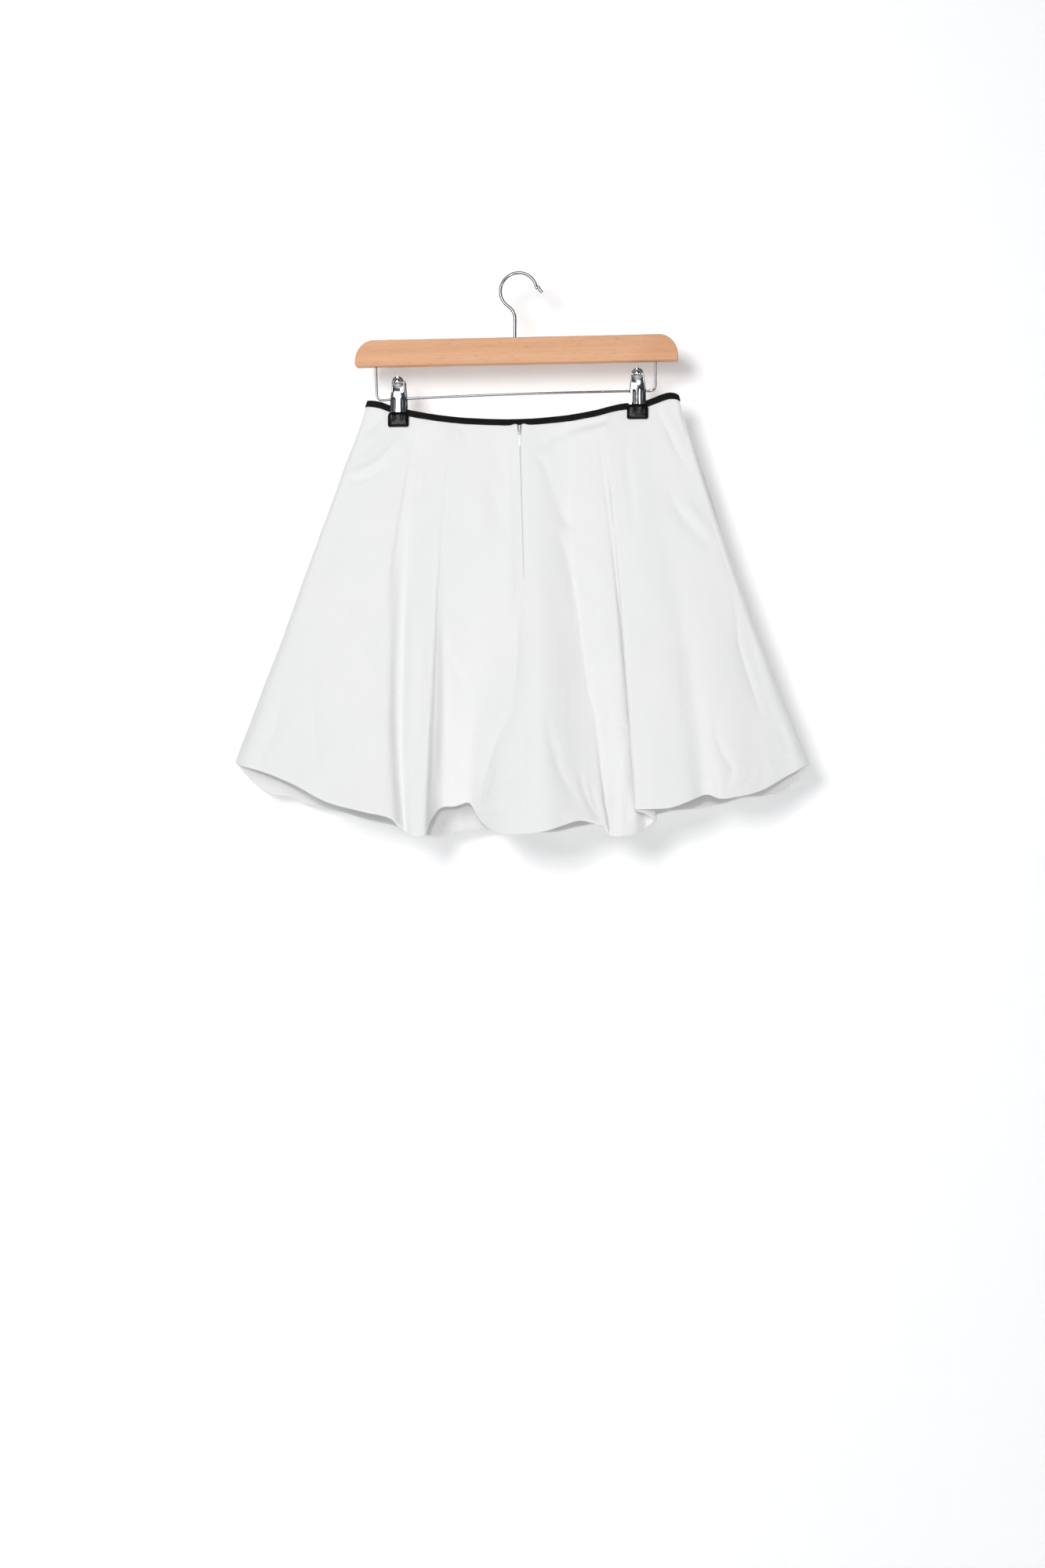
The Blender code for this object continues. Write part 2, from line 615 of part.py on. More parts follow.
def zip_pull():
    """Teardrop pull tab, hung by its top bar in the slider's lug."""
    top = PULL_AXIS_Z + PULL_BAR / 2
    outline = []
    steps = 22
    for k in range(steps):
        turn = 2 * pi * k / steps
        down = 0.5 * (1 - cos(turn))
        width = PULL_WIDTH / 2 * abs(sin(turn)) ** 0.55 * (0.80 + 0.20 * down)
        side = 1.0 if sin(turn) >= 0.0 else -1.0
        outline.append((top - down * PULL_LENGTH, SLIDER_X + side * width))
    verts, faces = prism(outline, "y", -PULL_OUT - PULL_THICK / 2, -PULL_OUT + PULL_THICK / 2)
    pull = add_object("zip_pull", verts, faces, "zip_white", origin=(SLIDER_X, -PULL_OUT, PULL_AXIS_Z))
    slot_top = PULL_AXIS_Z - PULL_BAR / 2
    slot_bottom = PULL_AXIS_Z - LUG_RADIUS - 0.45
    slot = box_points((SLIDER_X, -PULL_OUT, (slot_top + slot_bottom) / 2),
                      (LUG_WIDTH + 0.7, 4.0, slot_top - slot_bottom))
    cut(pull, "pull_slot", *slot)
    return pull


def tube(name, points, diameter, finish_name, sides=12):
    """Round wire along a line of points, as a curve with filled ends."""
    curve = bpy.data.curves.new(name, "CURVE")
    curve.dimensions = "3D"
    curve.bevel_depth = diameter / 2 * MM
    curve.bevel_resolution = sides // 4 - 1
    curve.use_fill_caps = True
    spline = curve.splines.new("POLY")
    spline.points.add(len(points) - 1)
    for target, point in zip(spline.points, points):
        target.co = (*world(point), 1.0)
    spline.use_smooth = True
    curve.materials.append(finish(finish_name))
    made = bpy.data.objects.new(name, curve)
    bpy.context.collection.objects.link(made)
    return made


def arc(centre, radius, start, end, steps):
    """Points of an arc in the plane of the bar, in degrees from +X."""
    points = []
    for k in range(steps + 1):
        turn = radians(start + (end - start) * k / steps)
        points.append((centre[0] + radius * cos(turn), 0.0, centre[1] + radius * sin(turn)))
    return points


def hook():
    """Chrome wire hook: straight stem, swan neck, round top and a flicked tip."""
    foot = BAR_TOP - HOLE_DEPTH + 1.0
    points = [(STEM_X, 0.0, foot), (STEM_X, 0.0, BAR_TOP), (STEM_X, 0.0, STEM_TOP)]
    points += arc((STEM_X - NECK_RADIUS, STEM_TOP), NECK_RADIUS, 12.0, 43.0, 3)
    points += arc((HANG_X, HOOK_CENTRE_Z), HOOK_RADIUS, 222.0, 8.0, HOOK_SEGMENTS)
    points += [(x, 0.0, z) for x, z in HOOK_FLICK]
    return tube("hanger_hook", points, WIRE_HOOK, "chrome")


def rail():
    """Wire below the bar that the clips hang on, bent up into the bar at both ends."""
    leg_top = BAR_BOTTOM + HOLE_DEPTH - 1.0
    left = arc((-RAIL_X + RAIL_BEND, RAIL_LEFT_Z + RAIL_BEND), RAIL_BEND, 180.0, 270.0, 5)
    right = arc((RAIL_X - RAIL_BEND, RAIL_RIGHT_Z + RAIL_BEND), RAIL_BEND, 270.0, 360.0, 5)
    points = [(-RAIL_X - 1.2, 0.0, leg_top), (-RAIL_X - 1.0, 0.0, BAR_BOTTOM)]
    points += left + right + [(RAIL_X, 0.0, BAR_BOTTOM), (RAIL_X, 0.0, leg_top)]
    return tube("clip_rail", points, WIRE_RAIL, "chrome")


def rail_z(x):
    """Height of the clip rail's axis at a place along it."""
    share = (x + RAIL_X - RAIL_BEND) / (2 * (RAIL_X - RAIL_BEND))
    return RAIL_LEFT_Z + share * (RAIL_RIGHT_Z - RAIL_LEFT_Z)


def quarter(centre, radius_x, radius_z, start, steps):
    return [(centre[0] + radius_x * cos(radians(start + 90.0 * k / steps)),
             centre[1] + radius_z * sin(radians(start + 90.0 * k / steps))) for k in range(steps + 1)]


def bar():
    """Wooden bar with round shoulders, drilled for the hook and for the rail's two legs."""
    outline = quarter((BAR_RIGHT - BAR_FOOT, BAR_BOTTOM + BAR_FOOT), BAR_FOOT, BAR_FOOT, -90.0, 3)
    outline += quarter((BAR_RIGHT - BAR_SHOULDER_X, BAR_TOP - BAR_SHOULDER_Z),
                       BAR_SHOULDER_X, BAR_SHOULDER_Z, 0.0, 7)
    outline += quarter((BAR_LEFT + BAR_SHOULDER_X, BAR_TOP - BAR_SHOULDER_Z),
                       BAR_SHOULDER_X, BAR_SHOULDER_Z, 90.0, 7)
    outline += quarter((BAR_LEFT + BAR_FOOT, BAR_BOTTOM + BAR_FOOT), BAR_FOOT, BAR_FOOT, 180.0, 3)
    swapped = [(z, x) for x, z in reversed(outline)]
    verts, faces = prism(swapped, "y", -BAR_THICK / 2, BAR_THICK / 2)
    made = add_object("hanger_bar", verts, faces, "beech")
    edge = made.modifiers.new("rounded", "BEVEL")
    edge.width = BAR_EDGE * MM
    edge.segments = 2
    edge.limit_method = "ANGLE"
    edge.angle_limit = radians(60.0)
    holes = [
        ("hole_hook", STEM_X, BAR_TOP, WIRE_HOOK),
        ("hole_left", -RAIL_X - 1.1, BAR_BOTTOM, WIRE_RAIL),
        ("hole_right", RAIL_X, BAR_BOTTOM, WIRE_RAIL),
    ]
    for name, x, z, diameter in holes:
        ring = circle(diameter / 2 + SEAM_GAP + 0.1, 12, (x, 0.0))
        cut(made, name, *prism(ring, "z", z - HOLE_DEPTH, z + HOLE_DEPTH))
    return made


def clip_width(z):
    """Width of a clip's jaw: rounded head, narrow neck, straight body and a slight flare."""
    head = CLIP_HEAD_WIDTH / 2
    if z > CLIP_ABOVE_RAIL - head:
        drop = CLIP_ABOVE_RAIL - z
        return 2 * head * (max(0.04, 1 - ((head - drop) / head) ** 2)) ** 0.5
    body = smooth_step((CLIP_ABOVE_RAIL - head - z) / 12.0)
    flare = smooth_step((-z - CLIP_BELOW_RAIL + 4.0) / 4.0)
    return CLIP_HEAD_WIDTH + (CLIP_WIDTH - CLIP_HEAD_WIDTH) * body + 1.2 * flare


def jaw(name, x_clip, side):
    """One jaw: sprung steel plate with a thumb dome and two stiffening ribs."""
    z_rail = rail_z(x_clip)
    plate_in = JAW_INNER + (PAD_THICK - CLIP_PLATE) / 2
    front, back = [], []
    for z in JAW_HEIGHTS:
        half = clip_width(z) / 2
        lean = JAW_LEAN * smooth_step((z - 4.0) / 20.0)
        line_out, line_in = [], []
        for share in JAW_SHARES:
            x = share * half
            crown = JAW_CROWN * (1 - share * share)
            from_thumb = (x * x + (z - THUMB_Z) ** 2) / THUMB_SPREAD ** 2
            dome = THUMB_DOME * max(0.0, 1 - from_thumb)
            rib = JAW_RIB if 0.3 < abs(share) < 0.6 and z < 2.0 else 0.0
            base = plate_in + lean
            line_out.append((x_clip + x, side * (base + CLIP_PLATE + crown + dome + rib), z_rail + z))
            line_in.append((x_clip + x, side * (base + 0.35 * crown), z_rail + z))
        front.append(line_out)
        back.append(line_in)
    if side > 0.0:
        front = [list(reversed(line)) for line in front]
        back = [list(reversed(line)) for line in back]
    verts, faces = two_sided(front, back)
    return add_object(name, verts, faces, "chrome")


def pad(name, x_clip, side):
    """Black dipped end of a jaw, with the ribs showing through."""
    z_top = rail_z(x_clip) - CLIP_BELOW_RAIL - SEAM_GAP
    front, back = [], []
    for drop in PAD_DROPS:
        z = z_top - drop * PAD_HEIGHT
        half = PAD_WIDTH / 2 * (0.86 + 0.14 * smooth_step(drop * 3.0))
        half -= PAD_TIP_NARROWING * smooth_step((drop - 0.8) / 0.2)
        line_out, line_in = [], []
        for share in PAD_SHARES:
            edge = min(1.0, 8.0 * (1 - abs(share))) * min(1.0, 0.25 + 6.0 * (1 - drop))
            rib = PAD_RIB if 0.3 < abs(share) < 0.5 and drop < 0.6 else 0.0
            thick = PAD_THICK * (0.55 + 0.45 * edge) + rib
            x = x_clip + share * half
            line_out.append((x, side * (JAW_INNER + thick), z))
            line_in.append((x, side * JAW_INNER, z))
        front.append(line_out)
        back.append(line_in)
    if side > 0.0:
        front = [list(reversed(line)) for line in front]
        back = [list(reversed(line)) for line in back]
    verts, faces = two_sided(front, back)
    return add_object(name, verts, faces, "dip_black")


def clip_spring(name, x_clip):
    """Spring coil round the rail, between the jaws."""
    outer = JAW_INNER + (PAD_THICK - CLIP_PLATE) / 2 - SEAM_GAP
    ring = circle(outer, 16, (0.0, rail_z(x_clip)))
    low, high = x_clip - CLIP_SPRING_LENGTH / 2, x_clip + CLIP_SPRING_LENGTH / 2
    spring = add_object(name, *prism(ring, "x", low, high), "chrome")
    hole = circle(WIRE_RAIL / 2 + SEAM_GAP + 0.1, 16, (0.0, rail_z(x_clip)))
    cut(spring, name + "_hole", *prism(hole, "x", low - 2.0, high + 2.0))
    return spring


def clips():
    for label, x_clip in zip(("left", "right"), CLIP_X):
        for face, side in (("back", -1.0), ("front", 1.0)):
            jaw("clip_%s_jaw_%s" % (label, face), x_clip, side)
            pad("clip_%s_pad_%s" % (label, face), x_clip, side)
        clip_spring("clip_%s_spring" % label, x_clip)


def skirt():
    back_left = span(0, SEAM_ROW)
    back_right = span(SEAM_ROW, RIGHT_ROW)
    front = span(RIGHT_ROW, 0)
    panel("back_left_panel", back_left, zip_end=-1)
    panel("back_right_panel", back_right, zip_end=0)
    panel("front_panel", front)
    binding("binding_back_left", back_left)
    binding("binding_back_right", back_right)
    binding("binding_front", front)
    zip_tape()
    zip_slider()
    zip_pull()


clear_scene()
bar()
hook()
rail()
clips()
skirt()
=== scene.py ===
"""Looks of the A-line mini skirt on its clip hanger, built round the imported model.

Sizes are in millimetres and are scaled to metres when a mesh is made. X runs along the bar,
Y from the back of the skirt (the side with the zip) to its front, Z up. Tables measure X from
the middle of the bar; the hook's bearing point is the origin of the finished model.
"""
from collections import namedtuple
from math import ceil, cos, pi, radians, sin

import bpy
import numpy as np
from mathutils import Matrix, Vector, noise


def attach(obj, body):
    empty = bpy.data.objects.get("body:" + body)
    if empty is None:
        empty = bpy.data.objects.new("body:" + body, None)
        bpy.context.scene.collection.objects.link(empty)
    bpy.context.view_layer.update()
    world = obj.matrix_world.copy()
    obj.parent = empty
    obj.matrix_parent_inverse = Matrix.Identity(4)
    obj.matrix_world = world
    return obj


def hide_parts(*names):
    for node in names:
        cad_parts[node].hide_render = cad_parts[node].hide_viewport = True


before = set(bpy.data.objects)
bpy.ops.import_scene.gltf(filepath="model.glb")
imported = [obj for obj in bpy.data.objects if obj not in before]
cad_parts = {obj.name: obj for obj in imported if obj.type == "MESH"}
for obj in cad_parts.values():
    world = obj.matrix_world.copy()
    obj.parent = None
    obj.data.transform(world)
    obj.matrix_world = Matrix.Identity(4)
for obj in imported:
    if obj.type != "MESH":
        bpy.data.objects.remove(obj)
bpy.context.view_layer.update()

MM = 0.001
HANG_X = 3.6
SEAM_GAP = 0.3
SEWN_GAP = 0.03
UP = np.array((0.0, 0.0, 1.0))

# Hanger
WIRE_HOOK = 3.4
HOOK_RADIUS = 20.3
HOOK_CENTRE_Z = -(HOOK_RADIUS - WIRE_HOOK / 2)
HOOK_FLICK = ((25.2, -14.4), (27.2, -17.6), (30.0, -20.4))
STEM_X, STEM_MID, STEM_TOP, NECK_RADIUS = -0.4, -60.0, -49.0, 16.0
WIRE_SUNK = 13.0                      # into the bar
BAR_LEFT, BAR_RIGHT = -180.1, 180.9
BAR_TOP, BAR_BOTTOM = -70.8, -100.0
BAR_THICK = 13.0
BAR_SHOULDER_X, BAR_SHOULDER_Z = 21.0, 24.0
BAR_FOOT, BAR_EDGE = 3.0, 1.6
WIRE_RAIL = 2.6
RAIL_X, RAIL_BEND = 155.8, 6.0
RAIL_LEFT_Z, RAIL_RIGHT_Z, RAIL_BOW = -137.2, -132.6, 1.8

# Clips
CLIP_X = (-130.7, 136.2)
CLIP_WIDTH, CLIP_HEAD_WIDTH, CLIP_FLARE = 17.4, 14.6, 1.4
CLIP_ABOVE_RAIL, CLIP_BELOW_RAIL = 24.6, 15.0
CLIP_PLATE = 1.2
PAD_WIDTH, PAD_HEIGHT, PAD_THICK = 23.4, 16.0, 3.4
JAW_INNER = 4.8
JAW_LEAN = 2.6
JAW_CROWN, JAW_ROLL = 1.0, 1.3
DOME_RADIUS, DOME_HEIGHT, DOME_DROP = 5.2, 3.0, 7.4
JAW_RIB, PAD_RIB, RIB_WIDTH, RIB_PLACE = 0.9, 0.8, 0.85, 0.46
PAD_CORNER, PAD_DIP = 2.4, 0.25
CLIP_SPRING_LENGTH, SPRING_TURNS, SPRING_WIRE = 11.0, 6, 1.3

# Cloth
CLOTH = 1.0
BINDING = 1.0
BINDING_HEIGHT = 7.0
BINDING_DIP, BINDING_DIP_AT, BINDING_DIP_WIDTH = 1.5, 5.0, 3.5      # beside the zip
BINDING_WANDER, BINDING_PUFF = (0.22, 11.0), (0.18, 6.0)            # height and size
EDGE_TOP = BINDING + SEAM_GAP
HEM_RADIUS = 2.5
RETURN_HEIGHT = 52.0
RETURN_DRIFT = 0.6
CALM_REACH = 4.0
BACK_STEP, FRONT_STEP = 2.4, 3.4      # between the cloth's lines at the hem
LEVEL_STEPS = 168
RETURN_STEPS = 16

# Zip
NOTCH_BOTTOM_Z, NOTCH_TOP_Z, NOTCH_HALF = -186.0, -170.0, 1.9
ZIP_END_Z = -345.0
TAPE_HALF = 8.0
PULL_LENGTH, PULL_WIDTH, PULL_THICK, PULL_BAR = 17.5, 4.4, 1.1, 1.1
PULL_OUT, PULL_AXIS_Z = 6.7, -176.4
SLIDER_X = 5.3
LUG_WIDTH, LUG_HOLE, LUG_RADIUS = 1.4, 1.1, 1.95
SLOT_PLAY, SLOT_BELOW = 0.7, 0.45
SLIDER_WIDTH, SLIDER_HEIGHT, SLIDER_THICK = 5.6, 9.0, 2.4
SLIDER_Y = -2.0
BRIDGE_PATH = ((-4.2, 9.4), (-4.9, 8.6), (-5.4, 6.0), (-6.1, 2.9))     # y, and z above the pull's axis
BRIDGE_WIDTHS = (2.8, 2.7, 2.3, 1.8)
BRIDGE_HALF_THICK = 0.42
BODY_LIFT = 1.2
TAPE_TOP_Z, TAPE_BACK, TAPE_THICK, TAPE_ROW = -181.9, 0.9, 0.7, 0.95
TOOTH_PITCH, TOOTH_RADIUS, TOOTH_HALF, TOOTH_SHIFT, TOOTH_OUT = 0.95, 0.36, 1.5, 0.45, 0.42
TOOTH_RINGS = ((-0.95, 0.5), (-0.7, 1.0), (0.7, 1.0), (0.95, 0.5))
PULL_EDGE = ((0.0, 0.7), (0.12, 0.98), (0.55, 1.0), (0.86, 1.0), (0.96, 0.75), (1.0, 0.2))
TUCK_TOP_Z, TUCK_BOTTOM_Z = -164.5, -178.5

# Relief of the cloth
CRUMPLES = ((34.0, 0.9, 1), (13.0, 0.28, 2))      # size, height and seed
RETURN_RIPPLE = (11.0, 1.5, 5)
SEAM_DIP, SEAM_DIP_WIDTH, SEAM_RISE, SEAM_RISE_FADE = 0.12, 1.1, 0.08, 2.8
ZIP_DIP, ZIP_RISE, ZIP_FADE = 0.32, 0.35, 60.0
ZIP_PART, ZIP_PART_FADE = 0.10, 25.0
CREASE_TAPER = 0.6
WAIST_RELIEF, WAIST_RELIEF_FADE = 0.15, 0.02      # less relief where the binding holds the cloth
SIDE_ALLOWANCE, BACK_ALLOWANCE = 9.0, 11.0
HEM_TURNS = (22.0, 45.0, 68.0, 90.0, 112.0, 135.0, 158.0, 180.0)
HEM_IN_POWER, HEM_DOWN_POWER = 1.6, 0.55          # they make the folded edge crisp
TURN_CLEAR, TURN_SHARE = 13.0, 0.42
EDGE_LINES = 6

# Stitches
STITCH_PITCH, STITCH_LENGTH, STITCH_LIFT, STITCH_RADIUS, STITCH_OUT = 2.6, 1.9, 0.72, 0.16, 0.05
STITCH_RINGS = ((-0.5, -0.12, 0.55), (0.0, 0.08, 1.0), (0.5, -0.12, 0.55))

WaistPoint = namedtuple("WaistPoint", "x z")
WAIST_LINE = [
    WaistPoint(-167.0, -137.5), WaistPoint(-156.0, -138.0), WaistPoint(-143.0, -142.6),
    WaistPoint(-119.0, -148.8), WaistPoint(-82.0, -155.8), WaistPoint(-32.0, -160.4),
    WaistPoint(10.0, -161.4), WaistPoint(41.0, -159.5), WaistPoint(66.0, -157.0),
    WaistPoint(90.0, -152.8), WaistPoint(114.0, -147.0), WaistPoint(148.0, -142.5),
    WaistPoint(163.0, -136.8), WaistPoint(175.0, -135.2), WaistPoint(181.0, -137.4),
]

# One row for each line of the cloth from the waist to the hem: its place along the bar and how
# far it stands out from the middle plane at the waist, half way and at the hem.
Fold = namedtuple("Fold", "x_top x_mid x_hem out_top out_mid out_hem z_hem")

LEFT_SIDE = Fold(-166.0, -240.0, -317.0, 0.0, 0.0, 0.0, -543.0)
RIGHT_SIDE = Fold(180.6, 246.0, 324.0, 0.0, 0.0, 0.0, -546.0)
BACK_SEAM = Fold(5.0, 12.5, 20.0, 4.6, 21.5, 58.0, -620.5)

BACK_LEFT = [
    Fold(-163.0, -236.0, -309.0, 2.5, 5.5, 11.0, -546.0),
    Fold(-152.0, -219.0, -284.0, 2.8, 9.5, 18.0, -552.5),
    Fold(-139.0, -196.0, -247.0, 2.6, 14.5, 27.0, -566.5),
    Fold(-122.0, -167.0, -205.0, 2.6, 18.0, 39.0, -587.0),
    Fold(-110.0, -146.0, -160.0, 3.2, 17.0, 49.0, -598.0),
    Fold(-104.0, -136.0, -128.0, 3.4, 14.0, 51.0, -607.0),
    Fold(-100.0, -128.0, -117.0, 3.6, 12.5, 41.0, -620.0),
    Fold(-94.0, -118.0, -110.0, 4.0, 14.5, 47.0, -623.0),
    Fold(-82.0, -103.0, -101.0, 4.2, 18.5, 49.0, -624.0),
    Fold(-73.0, -91.0, -94.0, 4.2, 20.5, 47.0, -623.0),
    Fold(-69.0, -85.0, -90.0, 4.0, 16.5, 30.0, -607.0),
    Fold(-63.0, -77.0, -82.0, 3.8, 13.0, 17.0, -594.0),
    Fold(-51.0, -61.0, -66.0, 3.6, 11.5, 14.0, -591.5),
    Fold(-37.0, -43.0, -49.0, 3.6, 11.5, 15.5, -588.6),
    Fold(-29.0, -33.0, -41.0, 3.6, 12.0, 24.0, -601.0),
    Fold(-20.0, -22.0, -29.0, 3.6, 12.5, 37.0, -613.0),
    Fold(-8.0, -7.0, -11.0, 3.9, 14.5, 51.0, -620.3),
]

BACK_RIGHT = [
    Fold(20.0, 30.0, 40.0, 4.0, 24.0, 58.0, -617.5),
    Fold(34.0, 48.0, 60.0, 3.6, 18.0, 50.0, -611.0),
    Fold(46.0, 62.0, 76.0, 3.4, 11.5, 43.0, -606.5),
    Fold(54.0, 70.0, 92.0, 3.4, 9.0, 38.0, -610.0),
    Fold(60.0, 75.0, 105.0, 3.6, 9.0, 33.0, -614.5),
    Fold(64.0, 81.0, 106.0, 4.0, 11.0, 28.0, -622.0),
    Fold(71.0, 93.0, 112.0, 4.2, 15.0, 31.0, -624.0),
    Fold(79.0, 104.0, 122.0, 4.2, 16.5, 33.0, -623.5),
    Fold(86.0, 114.0, 136.0, 4.0, 15.0, 29.0, -621.0),
    Fold(91.0, 120.5, 148.5, 3.6, 11.6, 17.5, -613.0),
    Fold(93.0, 123.5, 153.0, 3.6, 13.4, 19.5, -608.0),
    Fold(95.0, 121.5, 146.0, 3.6, 16.2, 28.0, -600.0),
    Fold(97.0, 118.0, 134.0, 3.6, 18.9, 36.5, -595.5),
    Fold(100.0, 119.5, 135.5, 3.6, 20.6, 41.0, -594.5),
    Fold(106.0, 132.0, 152.0, 3.0, 21.5, 42.0, -594.0),
    Fold(116.0, 150.0, 176.0, 2.6, 21.0, 39.0, -592.0),
    Fold(124.0, 165.0, 195.0, 2.6, 18.5, 35.0, -585.0),
    Fold(135.0, 181.0, 213.0, 2.6, 14.5, 27.5, -578.3),
    Fold(144.0, 196.0, 227.0, 2.6, 14.0, 33.0, -582.5),
    Fold(153.0, 211.0, 246.0, 2.8, 12.5, 31.0, -580.5),
    Fold(163.0, 226.0, 273.0, 3.0, 9.5, 22.0, -573.5),
    Fold(172.0, 238.0, 300.0, 2.8, 7.0, 14.0, -558.0),
    Fold(177.5, 243.5, 317.0, 2.4, 4.5, 9.0, -549.0),
]

FRONT = [
    Fold(177.0, 243.0, 317.0, 2.4, 5.0, 10.0, -554.0),
    Fold(166.0, 231.0, 303.0, 2.8, 9.0, 18.0, -571.0),
    Fold(152.0, 214.0, 280.0, 2.6, 13.0, 25.0, -580.0),
    Fold(138.0, 196.0, 255.0, 2.6, 17.0, 33.0, -582.0),
    Fold(124.0, 176.0, 226.0, 2.6, 21.0, 41.0, -590.0),
    Fold(112.0, 158.0, 200.0, 3.0, 22.0, 45.0, -594.5),
    Fold(98.0, 138.0, 172.0, 3.4, 18.0, 41.0, -597.0),
    Fold(84.0, 117.0, 147.0, 3.6, 13.0, 33.0, -603.0),
    Fold(70.0, 98.0, 122.0, 3.6, 11.0, 28.0, -607.0),
    Fold(56.0, 77.0, 97.0, 3.6, 13.0, 29.0, -610.0),
    Fold(40.0, 56.0, 68.0, 3.6, 18.0, 36.0, -615.0),
    Fold(24.0, 34.0, 40.0, 3.6, 23.0, 44.0, -621.0),
    Fold(8.0, 12.0, 12.0, 3.6, 23.0, 46.0, -621.0),
    Fold(-8.0, -10.0, -16.0, 3.6, 19.0, 40.0, -619.0),
    Fold(-26.0, -33.0, -42.0, 3.6, 14.0, 32.0, -618.0),
    Fold(-44.0, -56.0, -66.0, 3.6, 11.5, 26.0, -621.0),
    Fold(-60.0, -78.0, -90.0, 3.6, 14.0, 28.0, -626.0),
    Fold(-76.0, -99.0, -114.0, 3.6, 19.0, 35.0, -622.0),
    Fold(-90.0, -119.0, -142.0, 3.4, 23.0, 43.0, -614.0),
    Fold(-104.0, -140.0, -172.0, 3.0, 23.0, 46.0, -608.0),
    Fold(-118.0, -162.0, -203.0, 2.6, 19.0, 42.0, -599.0),
    Fold(-131.0, -183.0, -236.0, 2.6, 15.0, 37.0, -592.0),
    Fold(-143.0, -203.0, -262.0, 2.6, 12.0, 31.0, -581.0),
    Fold(-153.0, -219.0, -286.0, 2.8, 10.0, 25.0, -577.0),
    Fold(-162.0, -235.0, -307.0, 2.5, 6.0, 12.0, -558.0),
]

# Creases in the cloth: the line that one follows, how far it stands out (or in, if negative), how
# wide it is, how sharp (0 soft, 1 a knife edge), and the folds that it lies between.
Crease = namedtuple("Crease", "path height width sharp first last")

